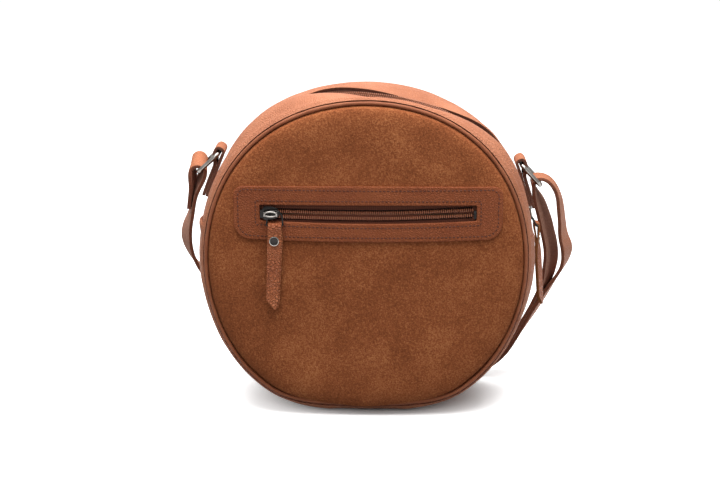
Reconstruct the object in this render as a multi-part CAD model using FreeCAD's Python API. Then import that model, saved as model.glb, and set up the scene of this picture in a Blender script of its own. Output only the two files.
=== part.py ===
import FreeCAD, Part
import math
import os
from FreeCAD import Vector

# A round zipped shoulder bag, in millimetres. It stands on its base with its front towards -Y, +X to the
# right and +Z up. The origin is the middle of the flat patch that the bag rests on, at half its depth.

# Outline: a circle whose base is pressed flat
panel_radius = 100.0
gusset_proud = 7.0
base_drop = 5.0
corner_radius = 57.0
seam_half = 36.0

# Shell
suede = 1.5
leather = 1.6
dish_depth = 5.0
dish_round = 4.4
piping_radius = 1.7
piping_core_radius = 1.0
crest_half = 18.0
seam_roll = 3.2
stiffener = 1.0
stiffener_margin = 4.0
lining = 0.4
touch = 0.1

# Main zip over the top
zip_right_end = 7.0
zip_left_end = 12.0
zip_window_half = 4.8
zip_sink = 2.5
tape = 0.5
tape_cover = 7.0
coil_width = 2.0
coil_height = 1.7
coil_gap = 1.0
stop_length = 1.5
stop_room = 1.0
slider_rest_angle = 13.0

# Zip sliders, both alike
slider_length = 11.0
slider_width = 8.4
slider_corner = 2.5
slider_plate = 1.2
slider_web_length = 4.0
slider_web = 0.5
slider_clear = 0.3
bridge_length = 8.8
bridge_width = 3.0
bridge_leg = 1.2
bridge_room = 3.0
bridge_top = 0.9

# Pull links and leather pulls, both alike
link_wire = 0.6
link_width = 11.0
link_reach = 9.5
link_bend = 1.6
pull_leather = 1.2
pull_width = 9.2
pull_length = 54.0
pull_tip = 6.5
pull_tip_width = 3.0
pull_neck = 5.0
pull_clear = 0.3
rivet_drop = 10.5
rivet_cap_radius = 3.1
rivet_cap = 1.0
rivet_back_radius = 2.4
rivet_back = 0.5
rivet_post = 1.0
main_link_lean = 32.0
main_pull_lean = 4.0

# Front pocket
pocket_x = 1.5
pocket_z = 134.0
facing_length = 168.0
facing_height = 36.5
facing_corner = 7.0
facing = 1.4
window_length = 137.0
window_height = 11.8
window_corner = 1.5
pocket_tape_height = 17.4
pocket_tape_margin = 1.6
pocket_slider_room = 8.7
pocket_link_offset = -2.2
pouch_length = 140.0
pouch_depth = 84.0
pouch_sheet = 0.3
pouch_rim = 0.6
pouch_lap = 6.0
pouch_head_room = 0.3

# Ring tabs and rings
tab_front_y = 11.0
tab_width = 18.0
tab_lift = 7.3
tab_clear = 0.4
tab_layer = 2.0
tab_neck = 9.0
tab_left_fold = 148.1
tab_left_tail = 163.2
tab_right_fold = 27.8
tab_right_tail = 12.6
ring_wire = 1.5
ring_pitch = 17.5
ring_inside = 20.0
ring_bend = 3.0
ring_clear = 0.3
ring_left_angle = 222.0
ring_right_angle = -46.5

# Shoulder strap: it hangs from both rings, leans back and lies folded behind the bag
strap_width = 18.0
strap = 2.4
strap_lean_top = 146.0
strap_lean_base = 53.0
strap_stand_off = 1.5
strap_pitch = 11.0
strap_floor_z = 3.8
strap_fold_left = -55.0
strap_fold_right = 50.0
strap_fold_count = 5
strap_pair_gap = 0.25
strap_cut = 0.4
strap_cut_left = 44.0
strap_cut_right = 30.0
adjuster_x = 34.0
adjuster_bar = 1.2
adjuster_spread = 8.0
adjuster_plate = 1.5
adjuster_clear = 0.3
adjuster_tail = 18.0

# Worked-out places
bag_radius = panel_radius + gusset_proud
panel_inset = gusset_proud
axis_z = bag_radius - base_drop
corner_reach = bag_radius - corner_radius
corner_fall = axis_z - corner_radius
corner_angle = math.degrees(math.asin(corner_fall / corner_reach))
flat_half = math.sqrt(corner_reach ** 2 - corner_fall ** 2)
gusset_edge = seam_half - piping_radius - touch
front_y = -(seam_half + dish_depth)
suede_back_y = front_y + suede
strap_back_y = seam_half + dish_depth + strap_stand_off
pocket_slider_x = pocket_x - window_length / 2 + pocket_slider_room
pouch_head = pocket_tape_height / 2 - pouch_head_room
seam_arc = ((gusset_edge - crest_half) ** 2 + seam_roll ** 2) / (2 * seam_roll)
zip_arc = ((crest_half - zip_window_half) ** 2 + zip_sink ** 2) / (2 * zip_sink)
coil_top_inset = zip_sink
tape_inset = coil_top_inset + coil_height
coil_inner = coil_gap / 2
coil_outer = coil_inner + coil_width
tab_back_y = tab_front_y + tab_width
tab_middle_y = tab_front_y + tab_width / 2
fold_radius = bag_radius + tab_lift
link_height = slider_clear + slider_plate + bridge_room - slider_clear - link_wire
pull_bore = link_wire + pull_clear
pull_loop = pull_bore + pull_leather

os.makedirs("parts", exist_ok=True)


def save(name, shape):
    shape.exportStep("parts/" + name + ".step")
    print(name, "solids", len(shape.Solids), "valid", shape.isValid(), "volume", round(shape.Volume, 1))


def join(shapes):
    return shapes[0].fuse(shapes[1:]).removeSplitter()


def polar(radius, angle):
    turn = math.radians(angle)
    return radius * math.cos(turn), axis_z + radius * math.sin(turn)


def box(x_range, y_range, z_range):
    size = [x_range[1] - x_range[0], y_range[1] - y_range[0], z_range[1] - z_range[0]]
    return Part.makeBox(*size, Vector(x_range[0], y_range[0], z_range[0]))


def mirrored(shape):
    return shape.mirror(Vector(0, 0, 0), Vector(0, 1, 0))


# Bands that follow the bag's outline. A section is drawn in two numbers: how far it lies inside the
# gusset's skin, and its Y. Two points make a line and three make an arc.

def section(pieces):
    def draw(place, normal):
        edges = []
        for piece in pieces:
            points = [place(*point) for point in piece]
            curve = Part.LineSegment(*points) if len(points) == 2 else Part.Arc(*points)
            edges.append(curve.toShape())
        return Part.Face(Part.Wire(edges))
    return draw


def round_section(inset, y, radius):
    def draw(place, normal):
        return Part.Face(Part.Wire(Part.makeCircle(radius, place(inset, y), normal)))
    return draw


def flat_section(inset_range, y_range):
    a, b = inset_range
    c, d = y_range
    corners = [(a, c), (a, d), (b, d), (b, c)]
    return section([(corners[k], corners[(k + 1) % 4]) for k in range(4)])


def turned(draw, centre_x, centre_z, radius, start, stop):
    centre = Vector(centre_x, 0, centre_z)
    face = draw(lambda inset, y: Vector(centre_x + radius - inset, y, centre_z), Vector(0, 0, 1))
    face.rotate(centre, Vector(0, -1, 0), start)
    return face.revolve(centre, Vector(0, -1, 0), stop - start)


def around(draw, start, stop):
    return turned(draw, 0.0, axis_z, bag_radius, start, stop)


def base_pieces(draw):
    flat = draw(lambda inset, y: Vector(-flat_half, y, inset), Vector(1, 0, 0))
    return [
        turned(draw, flat_half, corner_radius, corner_radius, -90.0, -corner_angle),
        turned(draw, -flat_half, corner_radius, corner_radius, 180.0 + corner_angle, 270.0),
        flat.extrude(Vector(2 * flat_half, 0, 0)),
    ]


def lower_band(draw):
    right = around(draw, -corner_angle, zip_right_end)
    left = around(draw, 180.0 - zip_left_end, 180.0 + corner_angle)
    return join([right, left] + base_pieces(draw))


def closed_band(draw):
    return join([around(draw, -corner_angle, 180.0 + corner_angle)] + base_pieces(draw))


def upper_band(draw, end_room=0.0):
    return around(draw, zip_right_end + end_room, 180.0 - zip_left_end - end_room)


def crown(arc, end_y, depth):
    # An arc that leaves the crest level and falls away towards end_y, at a depth under the skin.
    side = -1.0 if end_y < 0 else 1.0
    full = math.asin((end_y - side * crest_half) / (side * arc)) if abs(end_y) > crest_half else None
    full = full if full is not None else -math.asin((crest_half - abs(end_y)) / arc)
    points = []
    for share in (0.0, 0.5, 1.0):
        points.append((arc - (arc - depth) * math.cos(full * share),
                       side * (crest_half + (arc - depth) * math.sin(full * share))))
    return points


def band_between(outer, inner):
    # Closes a section between two chains of arcs and lines drawn in the same direction.
    pieces = list(outer)
    pieces.append((outer[-1][-1], inner[-1][-1]))
    pieces += [tuple(reversed(piece)) for piece in reversed(inner)]
    pieces.append((inner[0][0], outer[0][0]))
    return section(pieces)


def gusset_chain(depth):
    front = crown(seam_arc, -gusset_edge, depth)
    back = crown(seam_arc, gusset_edge, depth)
    return [tuple(reversed(front)), (front[0], back[0]), tuple(back)]


def strip_chain(depth, inner_y):
    seam_side = crown(seam_arc, -gusset_edge, depth)
    zip_side = crown(zip_arc, -inner_y, depth)
    return [tuple(reversed(seam_side)), tuple(zip_side)]


# Shell panels

def outline(inset, y):
    side_x, side_z = polar(bag_radius - inset, -corner_angle)
    corner_mid = math.radians((90.0 + corner_angle) / 2)
    corner_r = corner_radius - inset
    mid_x = flat_half + corner_r * math.cos(corner_mid)
    mid_z = corner_radius - corner_r * math.sin(corner_mid)
    top_x, top_z = polar(bag_radius - inset, 90.0)
    edges = [
        Part.Arc(Vector(side_x, y, side_z), Vector(top_x, y, top_z), Vector(-side_x, y, side_z)),
        Part.Arc(Vector(-side_x, y, side_z), Vector(-mid_x, y, mid_z), Vector(-flat_half, y, inset)),
        Part.LineSegment(Vector(-flat_half, y, inset), Vector(flat_half, y, inset)),
        Part.Arc(Vector(flat_half, y, inset), Vector(mid_x, y, mid_z), Vector(side_x, y, side_z)),
    ]
    return Part.Wire([edge.toShape() for edge in edges])


def disc(inset, start_y, stop_y):
    return Part.Face(outline(inset, start_y)).extrude(Vector(0, stop_y - start_y, 0))


def dished(inset, start_y, stop_y, rounding):
    plain = disc(inset, start_y, stop_y)
    rim = [edge for edge in plain.Edges if abs(edge.BoundBox.YMin - stop_y) < touch / 2
           and abs(edge.BoundBox.YMax - stop_y) < touch / 2]
    return plain.makeFillet(rounding, rim)


def panel():
    outer = dished(panel_inset, -seam_half, front_y, dish_round)
    inner = dished(panel_inset + suede, -seam_half + touch, suede_back_y, dish_round - suede)
    return outer.cut(inner)


def slab(length, height, corner, y_range, x=pocket_x, z=pocket_z):
    plate = box((x - length / 2, x + length / 2), y_range, (z - height / 2, z + height / 2))
    posts = [edge for edge in plate.Edges if edge.BoundBox.YLength > edge.BoundBox.XLength + edge.BoundBox.ZLength]
    return plate.makeFillet(corner, posts)


pocket_slot = slab(window_length, window_height, window_corner, (front_y - dish_depth, 0.0))
stiffener_inset = panel_inset + suede + stiffener_margin
stiffener_back_y = suede_back_y + stiffener
lining_inset = panel_inset + suede + touch
pocket_tape_length = window_length + 2 * pocket_tape_margin
tape_opening = slab(pocket_tape_length + 2 * touch, pocket_tape_height + 2 * touch, touch, (front_y, 0.0))
lining_front_y = -seam_half

plain_panel = panel()
save("front_panel", plain_panel.cut(pocket_slot))
save("back_panel", mirrored(plain_panel))
plain_stiffener = disc(stiffener_inset, suede_back_y, stiffener_back_y)
save("front_stiffener", plain_stiffener.cut(tape_opening))
save("back_stiffener", mirrored(plain_stiffener))
lining_disc = disc(lining_inset, lining_front_y - lining, lining_front_y)
save("front_lining", lining_disc)
save("back_lining", mirrored(lining_disc))

# Piping: a leather sleeve round a cord, along each seam
piping_inset = panel_inset - piping_radius - touch
sleeve = closed_band(round_section(piping_inset, -seam_half, piping_radius))
bore = closed_band(round_section(piping_inset, -seam_half, piping_core_radius + touch))
core = closed_band(round_section(piping_inset, -seam_half, piping_core_radius))
front_piping = sleeve.cut(bore)
save("front_piping", front_piping)
save("back_piping", mirrored(front_piping))
save("front_piping_cord", core)
save("back_piping_cord", mirrored(core))

# Gusset: one band under and beside the bag, two strips either side of the zip, each with its lining
base_section = band_between(gusset_chain(0.0), gusset_chain(leather))
save("base_gusset", lower_band(base_section))
lining_top = leather + touch
lining_section = band_between(gusset_chain(lining_top), gusset_chain(lining_top + lining))
save("base_lining", lower_band(lining_section))
strip_section = band_between(strip_chain(0.0, zip_window_half), strip_chain(leather, zip_window_half))
front_strip = upper_band(strip_section)
save("zip_strip_front", front_strip)
save("zip_strip_back", mirrored(front_strip))
tape_edge = zip_window_half + tape_cover
strip_lining_y = tape_edge + touch
strip_lining_section = band_between(strip_chain(lining_top, strip_lining_y),
                                    strip_chain(lining_top + lining, strip_lining_y))
front_strip_lining = upper_band(strip_lining_section)
save("zip_strip_lining_front", front_strip_lining)
save("zip_strip_lining_back", mirrored(front_strip_lining))

# Main zip: two tapes, two coils and an end stop at each end
tape_section = flat_section((tape_inset, tape_inset + tape), (-tape_edge, -coil_inner))
main_tape = upper_band(tape_section)
save("main_zip_tape_front", main_tape)
save("main_zip_tape_back", mirrored(main_tape))
stop_start = math.degrees(stop_room / bag_radius)
stop_end = stop_start + math.degrees(stop_length / bag_radius)
coil_room = stop_end + math.degrees(touch / bag_radius)
coil_section = flat_section((coil_top_inset, tape_inset), (-coil_outer, -coil_inner))
main_coil = upper_band(coil_section, coil_room)
save("main_zip_coil_front", main_coil)
save("main_zip_coil_back", mirrored(main_coil))
stop_section = flat_section((coil_top_inset, tape_inset), (-coil_outer, coil_outer))
right_stop = around(stop_section, zip_right_end + stop_start, zip_right_end + stop_end)
left_end = 180.0 - zip_left_end
left_stop = around(stop_section, left_end - stop_end, left_end - stop_start)
save("main_zip_stops", Part.Compound([right_stop, left_stop]))

# Front pocket: facing, zip and a flat pouch behind the suede
facing_plate = slab(facing_length, facing_height, facing_corner, (front_y - facing, front_y))
save("pocket_facing", facing_plate.cut(pocket_slot))
tape_back_y = suede_back_y + tape
tape_left = pocket_x - pocket_tape_length / 2
tape_right = pocket_x + pocket_tape_length / 2
coil_front_y = suede_back_y - coil_height
window_left = pocket_x - window_length / 2
window_right = pocket_x + window_length / 2
stop_left = window_left + stop_room
stop_right = window_right - stop_room
for name, side in (("upper", 1.0), ("lower", -1.0)):
    tape_span = sorted((pocket_z + side * coil_inner, pocket_z + side * pocket_tape_height / 2))
    coil_span = sorted((pocket_z + side * coil_inner, pocket_z + side * coil_outer))
    save("pocket_zip_tape_" + name, box((tape_left, tape_right), (suede_back_y, tape_back_y), tape_span))
    coil_run = (stop_left + stop_length + touch, stop_right - stop_length - touch)
    save("pocket_zip_coil_" + name, box(coil_run, (coil_front_y, suede_back_y), coil_span))
stop_span = (pocket_z - coil_outer, pocket_z + coil_outer)
save("pocket_zip_stops", Part.Compound([
    box((stop_left, stop_left + stop_length), (coil_front_y, suede_back_y), stop_span),
    box((stop_right - stop_length, stop_right), (coil_front_y, suede_back_y), stop_span),
]))

pouch_front_y = stiffener_back_y + touch
pouch_inner_y = pouch_front_y + pouch_sheet
pouch_back_y = lining_front_y - lining - touch
pouch_left = pocket_x - pouch_length / 2
pouch_right = pocket_x + pouch_length / 2
pouch_base = pocket_z - pouch_depth
pouch_top = pocket_z + pouch_head
save("pocket_pouch_front", box((pouch_left, pouch_right), (pouch_front_y, pouch_inner_y),
                               (pouch_base, pocket_z - pouch_lap)))
pouch_sheet_y = pouch_back_y - pouch_sheet
rim_front_y = pouch_inner_y + touch
pouch_pieces = [
    box((pouch_left, pouch_right), (pouch_sheet_y, pouch_back_y), (pouch_base, pouch_top)),
    box((pouch_left, pouch_right), (rim_front_y, pouch_sheet_y), (pouch_base, pouch_base + pouch_rim)),
    box((pouch_left, pouch_left + pouch_rim), (rim_front_y, pouch_sheet_y), (pouch_base, pouch_top)),
    box((pouch_right - pouch_rim, pouch_right), (rim_front_y, pouch_sheet_y), (pouch_base, pouch_top)),
    box((pouch_left, pouch_right), (tape_back_y + touch, pouch_sheet_y), (pouch_top - pouch_rim, pouch_top)),
]
save("pocket_pouch_back", join(pouch_pieces))


# Zip sliders. In their own frame X runs along the zip, Y across it and Z away from it, from the coil's top.

def rounded_plate(length, width, corner, low, high):
    plate = box((-length / 2, length / 2), (-width / 2, width / 2), (low, high))
    posts = [edge for edge in plate.Edges if edge.BoundBox.ZLength > edge.BoundBox.XLength + edge.BoundBox.YLength]
    return plate.makeFillet(corner, posts)


def slider():
    deck = slider_clear + slider_plate
    under = -(coil_height + tape + slider_clear)
    roof = deck + bridge_room
    half = bridge_length / 2
    across = (-bridge_width / 2, bridge_width / 2)
    return join([
        rounded_plate(slider_length, slider_width, slider_corner, slider_clear, deck),
        rounded_plate(slider_length, slider_width, slider_corner, under - slider_plate, under),
        box((-slider_web_length / 2, slider_web_length / 2), (-slider_web / 2, slider_web / 2),
            (under - slider_plate, deck)),
        box((-half, -half + bridge_leg), across, (deck, roof)),
        box((half - bridge_leg, half), across, (deck, roof)),
        box((-half, half), across, (roof, roof + bridge_top)),
    ])


def wire_loop(width, height, bend, wire):
    # A closed loop of round wire in the XY plane, with the middle of its lower bar at the origin.
    half = width / 2
    lines = []
    arcs = []
    corners = [(-half, 0.0), (half, 0.0), (half, height), (-half, height)]
    ways = [(1, 0), (0, 1), (-1, 0), (0, -1)]
    for k in range(4):
        x, y = corners[k]
        next_x, next_y = corners[(k + 1) % 4]
        way = ways[k]
        turn = ways[(k + 1) % 4]
        start = Vector(x + bend * way[0], y + bend * way[1], 0)
        stop = Vector(next_x - bend * way[0], next_y - bend * way[1], 0)
        middle = Vector(next_x, next_y, 0) + Vector(turn[0] - way[0], turn[1] - way[1], 0) * (
            bend * (1 - math.sqrt(0.5)))
        after = Vector(next_x + bend * turn[0], next_y + bend * turn[1], 0)
        lines.append(Part.LineSegment(start, stop).toShape())
        arcs.append(Part.Arc(stop, middle, after).toShape())
    path = Part.Wire([edge for pair in zip(lines, arcs) for edge in pair])
    ring = Part.Wire(Part.makeCircle(wire, lines[0].firstVertex().Point, Vector(1, 0, 0)))
    return path.makePipeShell([ring], True, False)


def pull():
    # A leather strip folded over a bar along Y at the origin, hanging down -Z, front towards +X.
    half = pull_width / 2
    loop = Part.makeCylinder(pull_loop, pull_width, Vector(0, -half, 0), Vector(0, 1, 0))
    side = [(-pull_loop, 0), (pull_loop, 0), (pull_leather, -pull_neck), (pull_leather, -pull_length),
            (-pull_leather, -pull_length), (-pull_leather, -pull_neck), (-pull_loop, 0)]
    leaf = Part.Face(Part.makePolygon([Vector(x, -half, z) for x, z in side])).extrude(Vector(0, pull_width, 0))
    shoulder = -pull_length + pull_tip
    tip = pull_tip_width / 2
    front = [(-half, pull_loop), (half, pull_loop), (half, shoulder), (tip, -pull_length),
             (-tip, -pull_length), (-half, shoulder), (-half, pull_loop)]
    shape = Part.Face(Part.makePolygon([Vector(-pull_loop, y, z) for y, z in front]))
    blank = join([loop, leaf]).common(shape.extrude(Vector(2 * pull_loop, 0, 0)))
    hole = Part.makeCylinder(pull_bore, pull_width, Vector(0, -half, 0), Vector(0, 1, 0))
    post_hole = Part.makeCylinder(rivet_post + touch, 2 * pull_loop, Vector(-pull_loop, 0, -rivet_drop),
                                  Vector(1, 0, 0))
    return blank.cut(hole).cut(post_hole)


def rivet():
    along = Vector(1, 0, 0)
    cap = Part.makeCylinder(rivet_cap_radius, rivet_cap, Vector(pull_leather, 0, -rivet_drop), along)
    brim = [edge for edge in cap.Edges if edge.BoundBox.XMin > pull_leather + rivet_cap / 2]
    cap = cap.makeFillet(rivet_cap / 2, brim)
    post = Part.makeCylinder(rivet_post, 2 * pull_leather, Vector(-pull_leather, 0, -rivet_drop), along)
    back = Part.makeCylinder(rivet_back_radius, rivet_back, Vector(-pull_leather - rivet_back, 0, -rivet_drop),
                             along)
    return join([cap, post, back])


def placed(shape, origin, x_way, y_way, z_way):
    copy = shape.copy()
    copy.Placement = FreeCAD.Placement(origin, FreeCAD.Rotation(x_way, y_way, z_way, "ZXY"))
    return copy


def hang(name, origin, outward, along, upward):
    save(name + "_pull", placed(pull(), origin, outward, along, upward))
    save(name + "_pull_rivet", placed(rivet(), origin, outward, along, upward))


# Main zip slider, parked at the right-hand end, its link and its pull
rest = math.radians(slider_rest_angle)
outward = Vector(math.cos(rest), 0, math.sin(rest))
upward = Vector(-math.sin(rest), 0, math.cos(rest))
deep = Vector(0, 1, 0)
coil_x, coil_z = polar(bag_radius - coil_top_inset, slider_rest_angle)
main_seat = Vector(coil_x, 0, coil_z)
save("main_slider", placed(slider(), main_seat, upward, Vector(0, -1, 0), outward))
main_link_axis = main_seat + outward * link_height
lean = math.radians(main_link_lean)
link_way = Vector(math.sin(lean), 0, -math.cos(lean))
save("main_pull_link", placed(wire_loop(link_width, link_reach, link_bend, link_wire), main_link_axis,
                              deep, link_way, deep.cross(link_way)))
main_pull_axis = main_link_axis + link_way * link_reach
lean = math.radians(main_pull_lean)
hang("main", main_pull_axis, Vector(math.cos(lean), 0, math.sin(lean)), deep,
     Vector(-math.sin(lean), 0, math.cos(lean)))

# Pocket zip slider, parked at the left-hand end, its link and its pull
right_way = Vector(1, 0, 0)
front_way = Vector(0, -1, 0)
up_way = Vector(0, 0, 1)
pocket_seat = Vector(pocket_slider_x, coil_front_y, pocket_z)
save("pocket_slider", placed(slider(), pocket_seat, right_way, up_way, front_way))
pocket_link_y = coil_front_y - link_height
pocket_link_x = pocket_slider_x + pocket_link_offset
link_drop = bridge_width / 2 + 2 * link_wire
pocket_pull_axis = Vector(pocket_link_x + link_width / 2, pocket_link_y, pocket_z + link_drop - link_reach)
save("pocket_pull_link", placed(wire_loop(link_width, link_reach, link_bend, link_wire), pocket_pull_axis,
                                right_way, up_way, right_way.cross(up_way)))
hang("pocket", pocket_pull_axis, front_way, right_way, up_way)


# Ring tabs: a leather strip folded round the ring's upper bar and sewn to the back zip strip

def tab(fold_angle, tail_angle):
    low = bag_radius + tab_clear
    high = low + 2 * tab_layer
    turn = 1.0 if tail_angle > fold_angle else -1.0
    neck_angle = fold_angle + turn * math.degrees(tab_neck / bag_radius)
    depth = Vector(0, tab_width, 0)
    tail = around(flat_section((bag_radius - high, bag_radius - low), (tab_front_y, tab_back_y)),
                  min(neck_angle, tail_angle), max(neck_angle, tail_angle))
    fold_x, fold_z = polar(fold_radius, fold_angle)
    fold_at = Vector(fold_x, tab_front_y, fold_z)
    loop_inside = ring_wire + ring_clear
    loop_outside = loop_inside + tab_layer
    loop = Part.makeCylinder(loop_outside, tab_width, fold_at, Vector(0, 1, 0))
    wedge = [polar(fold_radius - loop_outside, fold_angle), polar(fold_radius + loop_outside, fold_angle),
             polar(high, neck_angle), polar(low, neck_angle)]
    wedge_face = Part.Face(Part.makePolygon([Vector(x, tab_front_y, z) for x, z in wedge + wedge[:1]]))
    body = join([tail, loop, wedge_face.extrude(depth)])
    return body.cut(Part.makeCylinder(loop_inside, tab_width, fold_at, Vector(0, 1, 0)))


def ring(fold_angle, ring_angle):
    fold_x, fold_z = polar(fold_radius, fold_angle)
    turn = math.radians(ring_angle)
    way = Vector(math.cos(turn), 0, math.sin(turn))
    loop = wire_loop(ring_inside + 2 * ring_wire, ring_pitch, ring_bend, ring_wire)
    return placed(loop, Vector(fold_x, tab_middle_y, fold_z), deep, way, deep.cross(way))


save("left_tab", tab(tab_left_fold, tab_left_tail))
save("right_tab", tab(tab_right_fold, tab_right_tail))
save("left_ring", ring(tab_left_fold, ring_left_angle))
save("right_ring", ring(tab_right_fold, ring_right_angle))


# Shoulder strap. Its side view is a route of points, each with the radius that the strap bends by there.

def route_pieces(route):
    # Lines and arcs of a route: each piece is its start, middle and end, with the left-hand way at each.
    pieces = []
    here = Vector(route[0][0], route[0][1], 0)
    for k in range(1, len(route)):
        corner = Vector(route[k][0], route[k][1], 0)
        into = corner - Vector(route[k - 1][0], route[k - 1][1], 0)
        into.normalize()
        left = Vector(-into.y, into.x, 0)
        if k == len(route) - 1:
            pieces.append([(here, left), (corner, left)])
            break
        out = Vector(route[k + 1][0], route[k + 1][1], 0) - corner
        out.normalize()
        turn = math.atan2(into.x * out.y - into.y * out.x, into.dot(out))
        radius = route[k][2]
        cut = radius * math.tan(abs(turn) / 2)
        start = corner - into * cut
        stop = corner + out * cut
        side = 1.0 if turn > 0 else -1.0
        centre = start + left * (side * radius)
        out_left = Vector(-out.y, out.x, 0)
        middle_left = left + out_left
        middle_left.normalize()
        if (start - here).Length > touch:
            pieces.append([(here, left), (start, left)])
        pieces.append([(start, left), (centre - middle_left * (side * radius), middle_left), (stop, out_left)])
        here = stop
    return pieces


def route_length(route):
    total = 0.0
    for piece in route_pieces(route):
        curve = Part.LineSegment if len(piece) == 2 else Part.Arc
        total += curve(*[point for point, left in piece]).toShape().Length
    return total


def strap_solid(route):
    sides = []
    for way in (1.0, -1.0):
        edges = []
        for piece in route_pieces(route):
            spots = [point + left * (way * strap / 2) for point, left in piece]
            spots = [Vector(spot.x, 0, spot.y) for spot in spots]
            curve = Part.LineSegment if len(spots) == 2 else Part.Arc
            edges.append(curve(*spots).toShape())
        sides.append(edges)
    ends = [Part.LineSegment(sides[0][k].Vertexes[k].Point, sides[1][k].Vertexes[k].Point).toShape() for k in (0, -1)]
    face = Part.Face(Part.Wire(Part.__sortEdges__(sides[0] + sides[1] + ends)))
    far_y = strap_back_y + 2 * strap_width
    return face.extrude(Vector(0, far_y, 0)).common(strap_lane())


def strap_lane():
    # What the strap fills seen from the side: square under the rings, then leaning back to lie behind the bag.
    reach = 2 * bag_radius
    front = [(tab_front_y, reach), (tab_front_y, strap_lean_top), (strap_back_y, strap_lean_base),
             (strap_back_y, -reach)]
    back = [(y + strap_width, z) for y, z in reversed(front)]
    points = [Vector(-reach, y, z) for y, z in front + back + front[:1]]
    return Part.Face(Part.makePolygon(points)).extrude(Vector(2 * reach, 0, 0))


def beside(route, shift):
    # The route that runs along another one, shifted to its left.
    result = []
    for k in range(1, len(route) - 1):
        point = Vector(route[k][0], route[k][1], 0)
        into = point - Vector(route[k - 1][0], route[k - 1][1], 0)
        into.normalize()
        out = Vector(route[k + 1][0], route[k + 1][1], 0) - point
        out.normalize()
        normals = Vector(-into.y - out.y, into.x + out.x, 0)
        moved = point + normals * (shift / (1 + into.dot(out)))
        inside = into.x * out.y - into.y * out.x > 0
        result.append((moved.x, moved.y, route[k][2] - shift if inside else route[k][2] + shift))
    return result


def bar_centre(fold_angle, ring_angle):
    x, z = polar(fold_radius, fold_angle)
    turn = math.radians(ring_angle)
    return x + ring_pitch * math.cos(turn), z + ring_pitch * math.sin(turn)


wrap = ring_wire + ring_clear + strap / 2
left_x, left_z = bar_centre(tab_left_fold, ring_left_angle)
right_x, right_z = bar_centre(tab_right_fold, ring_right_angle)

# Left: a short end, folded over the ring and sewn to the run that goes down behind the bag
strap_top_z = strap_floor_z + (strap_fold_count - 1) * strap_pitch
left_join = (-66.0, strap_top_z)
left_route = [
    (-119.2, 126.5), (left_x - wrap - 0.8, left_z + wrap, wrap), (left_x + wrap + 0.8, left_z + wrap, wrap),
    (-108.6, 143.5, 10.0), (-115.6, 128.5, 14.0), (-117.6, 112.0, 30.0), (-119.8, 99.0, 16.0),
    (-117.6, 87.0, 16.0), (-110.0, 72.0, 24.0), (-94.0, 54.0, 30.0), (-80.0, strap_top_z, 24.0), left_join,
]

# Behind the bag: flat folds, one on the other, down to the floor
right_join = (58.0, strap_floor_z)
fold_route = [left_join]
for fold in range(strap_fold_count - 1):
    turn_x = strap_fold_right if fold % 2 == 0 else strap_fold_left
    for level in (fold, fold + 1):
        fold_route.append((turn_x, strap_top_z - level * strap_pitch, strap_pitch / 2))
fold_route.append(right_join)

# Right: up to the ring, over its bar and back down beside itself to the adjuster
rising = [
    right_join, (72.0, strap_floor_z, 30.0), (85.5, 7.0, 20.0), (98.0, 18.0, 30.0), (125.5, 62.0, 120.0),
    (134.0, 80.0, 30.0), (137.8, 95.0, 9.0), (132.4, 108.0, 14.0), (130.5, 117.0, 60.0), (127.6, 131.0, 40.0),
]
over = [(124.2, 140.6, 10.0), (118.6, right_z + wrap, 8.0), (right_x - wrap - 0.1, right_z + wrap, wrap)]
returning = [(right_x - wrap - 0.3, 138.5, 12.0), (113.9, 128.6, 40.0), (117.4, 116.0, 60.0), (122.0, 100.0, 50.0),
             (124.2, 84.0, 40.0), (120.0, 62.0, 60.0)]
pair_shift = strap + strap_pair_gap
alongside = list(reversed(beside(rising[:6], pair_shift)))
return_z = strap_floor_z + pair_shift
fold_back_z = return_z + 2 * adjuster_bar + 2 * adjuster_clear + strap
adjuster_wrap = (fold_back_z - return_z) / 2
return_tail = [(adjuster_x - adjuster_wrap, return_z, adjuster_wrap),
               (adjuster_x - adjuster_wrap, fold_back_z, adjuster_wrap), (adjuster_x + adjuster_tail, fold_back_z)]
right_route = rising + over + returning + alongside[1:] + return_tail


def swing_cut(fold_angle, radius):
    x, z = polar(fold_radius, fold_angle)
    return Part.makeCylinder(radius, 2 * bag_radius, Vector(x, -bag_radius, z), Vector(0, 1, 0))


left_strap = strap_solid(left_route)
save("strap_left_end", left_strap.common(swing_cut(tab_left_fold, strap_cut_left - strap_cut / 2)))
save("strap_left_run", left_strap.cut(swing_cut(tab_left_fold, strap_cut_left + strap_cut / 2)))
save("strap_folds", strap_solid(fold_route))
right_strap = strap_solid(right_route)
save("strap_right_end", right_strap.common(swing_cut(tab_right_fold, strap_cut_right - strap_cut / 2)))
runs = right_strap.cut(swing_cut(tab_right_fold, strap_cut_right + strap_cut / 2)).Solids
runs.sort(key=lambda run: run.BoundBox.XMax)
save("strap_return", runs[0])
save("strap_right_run", runs[-1])
print("strap length", round(route_length(left_route) + route_length(fold_route) + route_length(right_route), 1))

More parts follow.
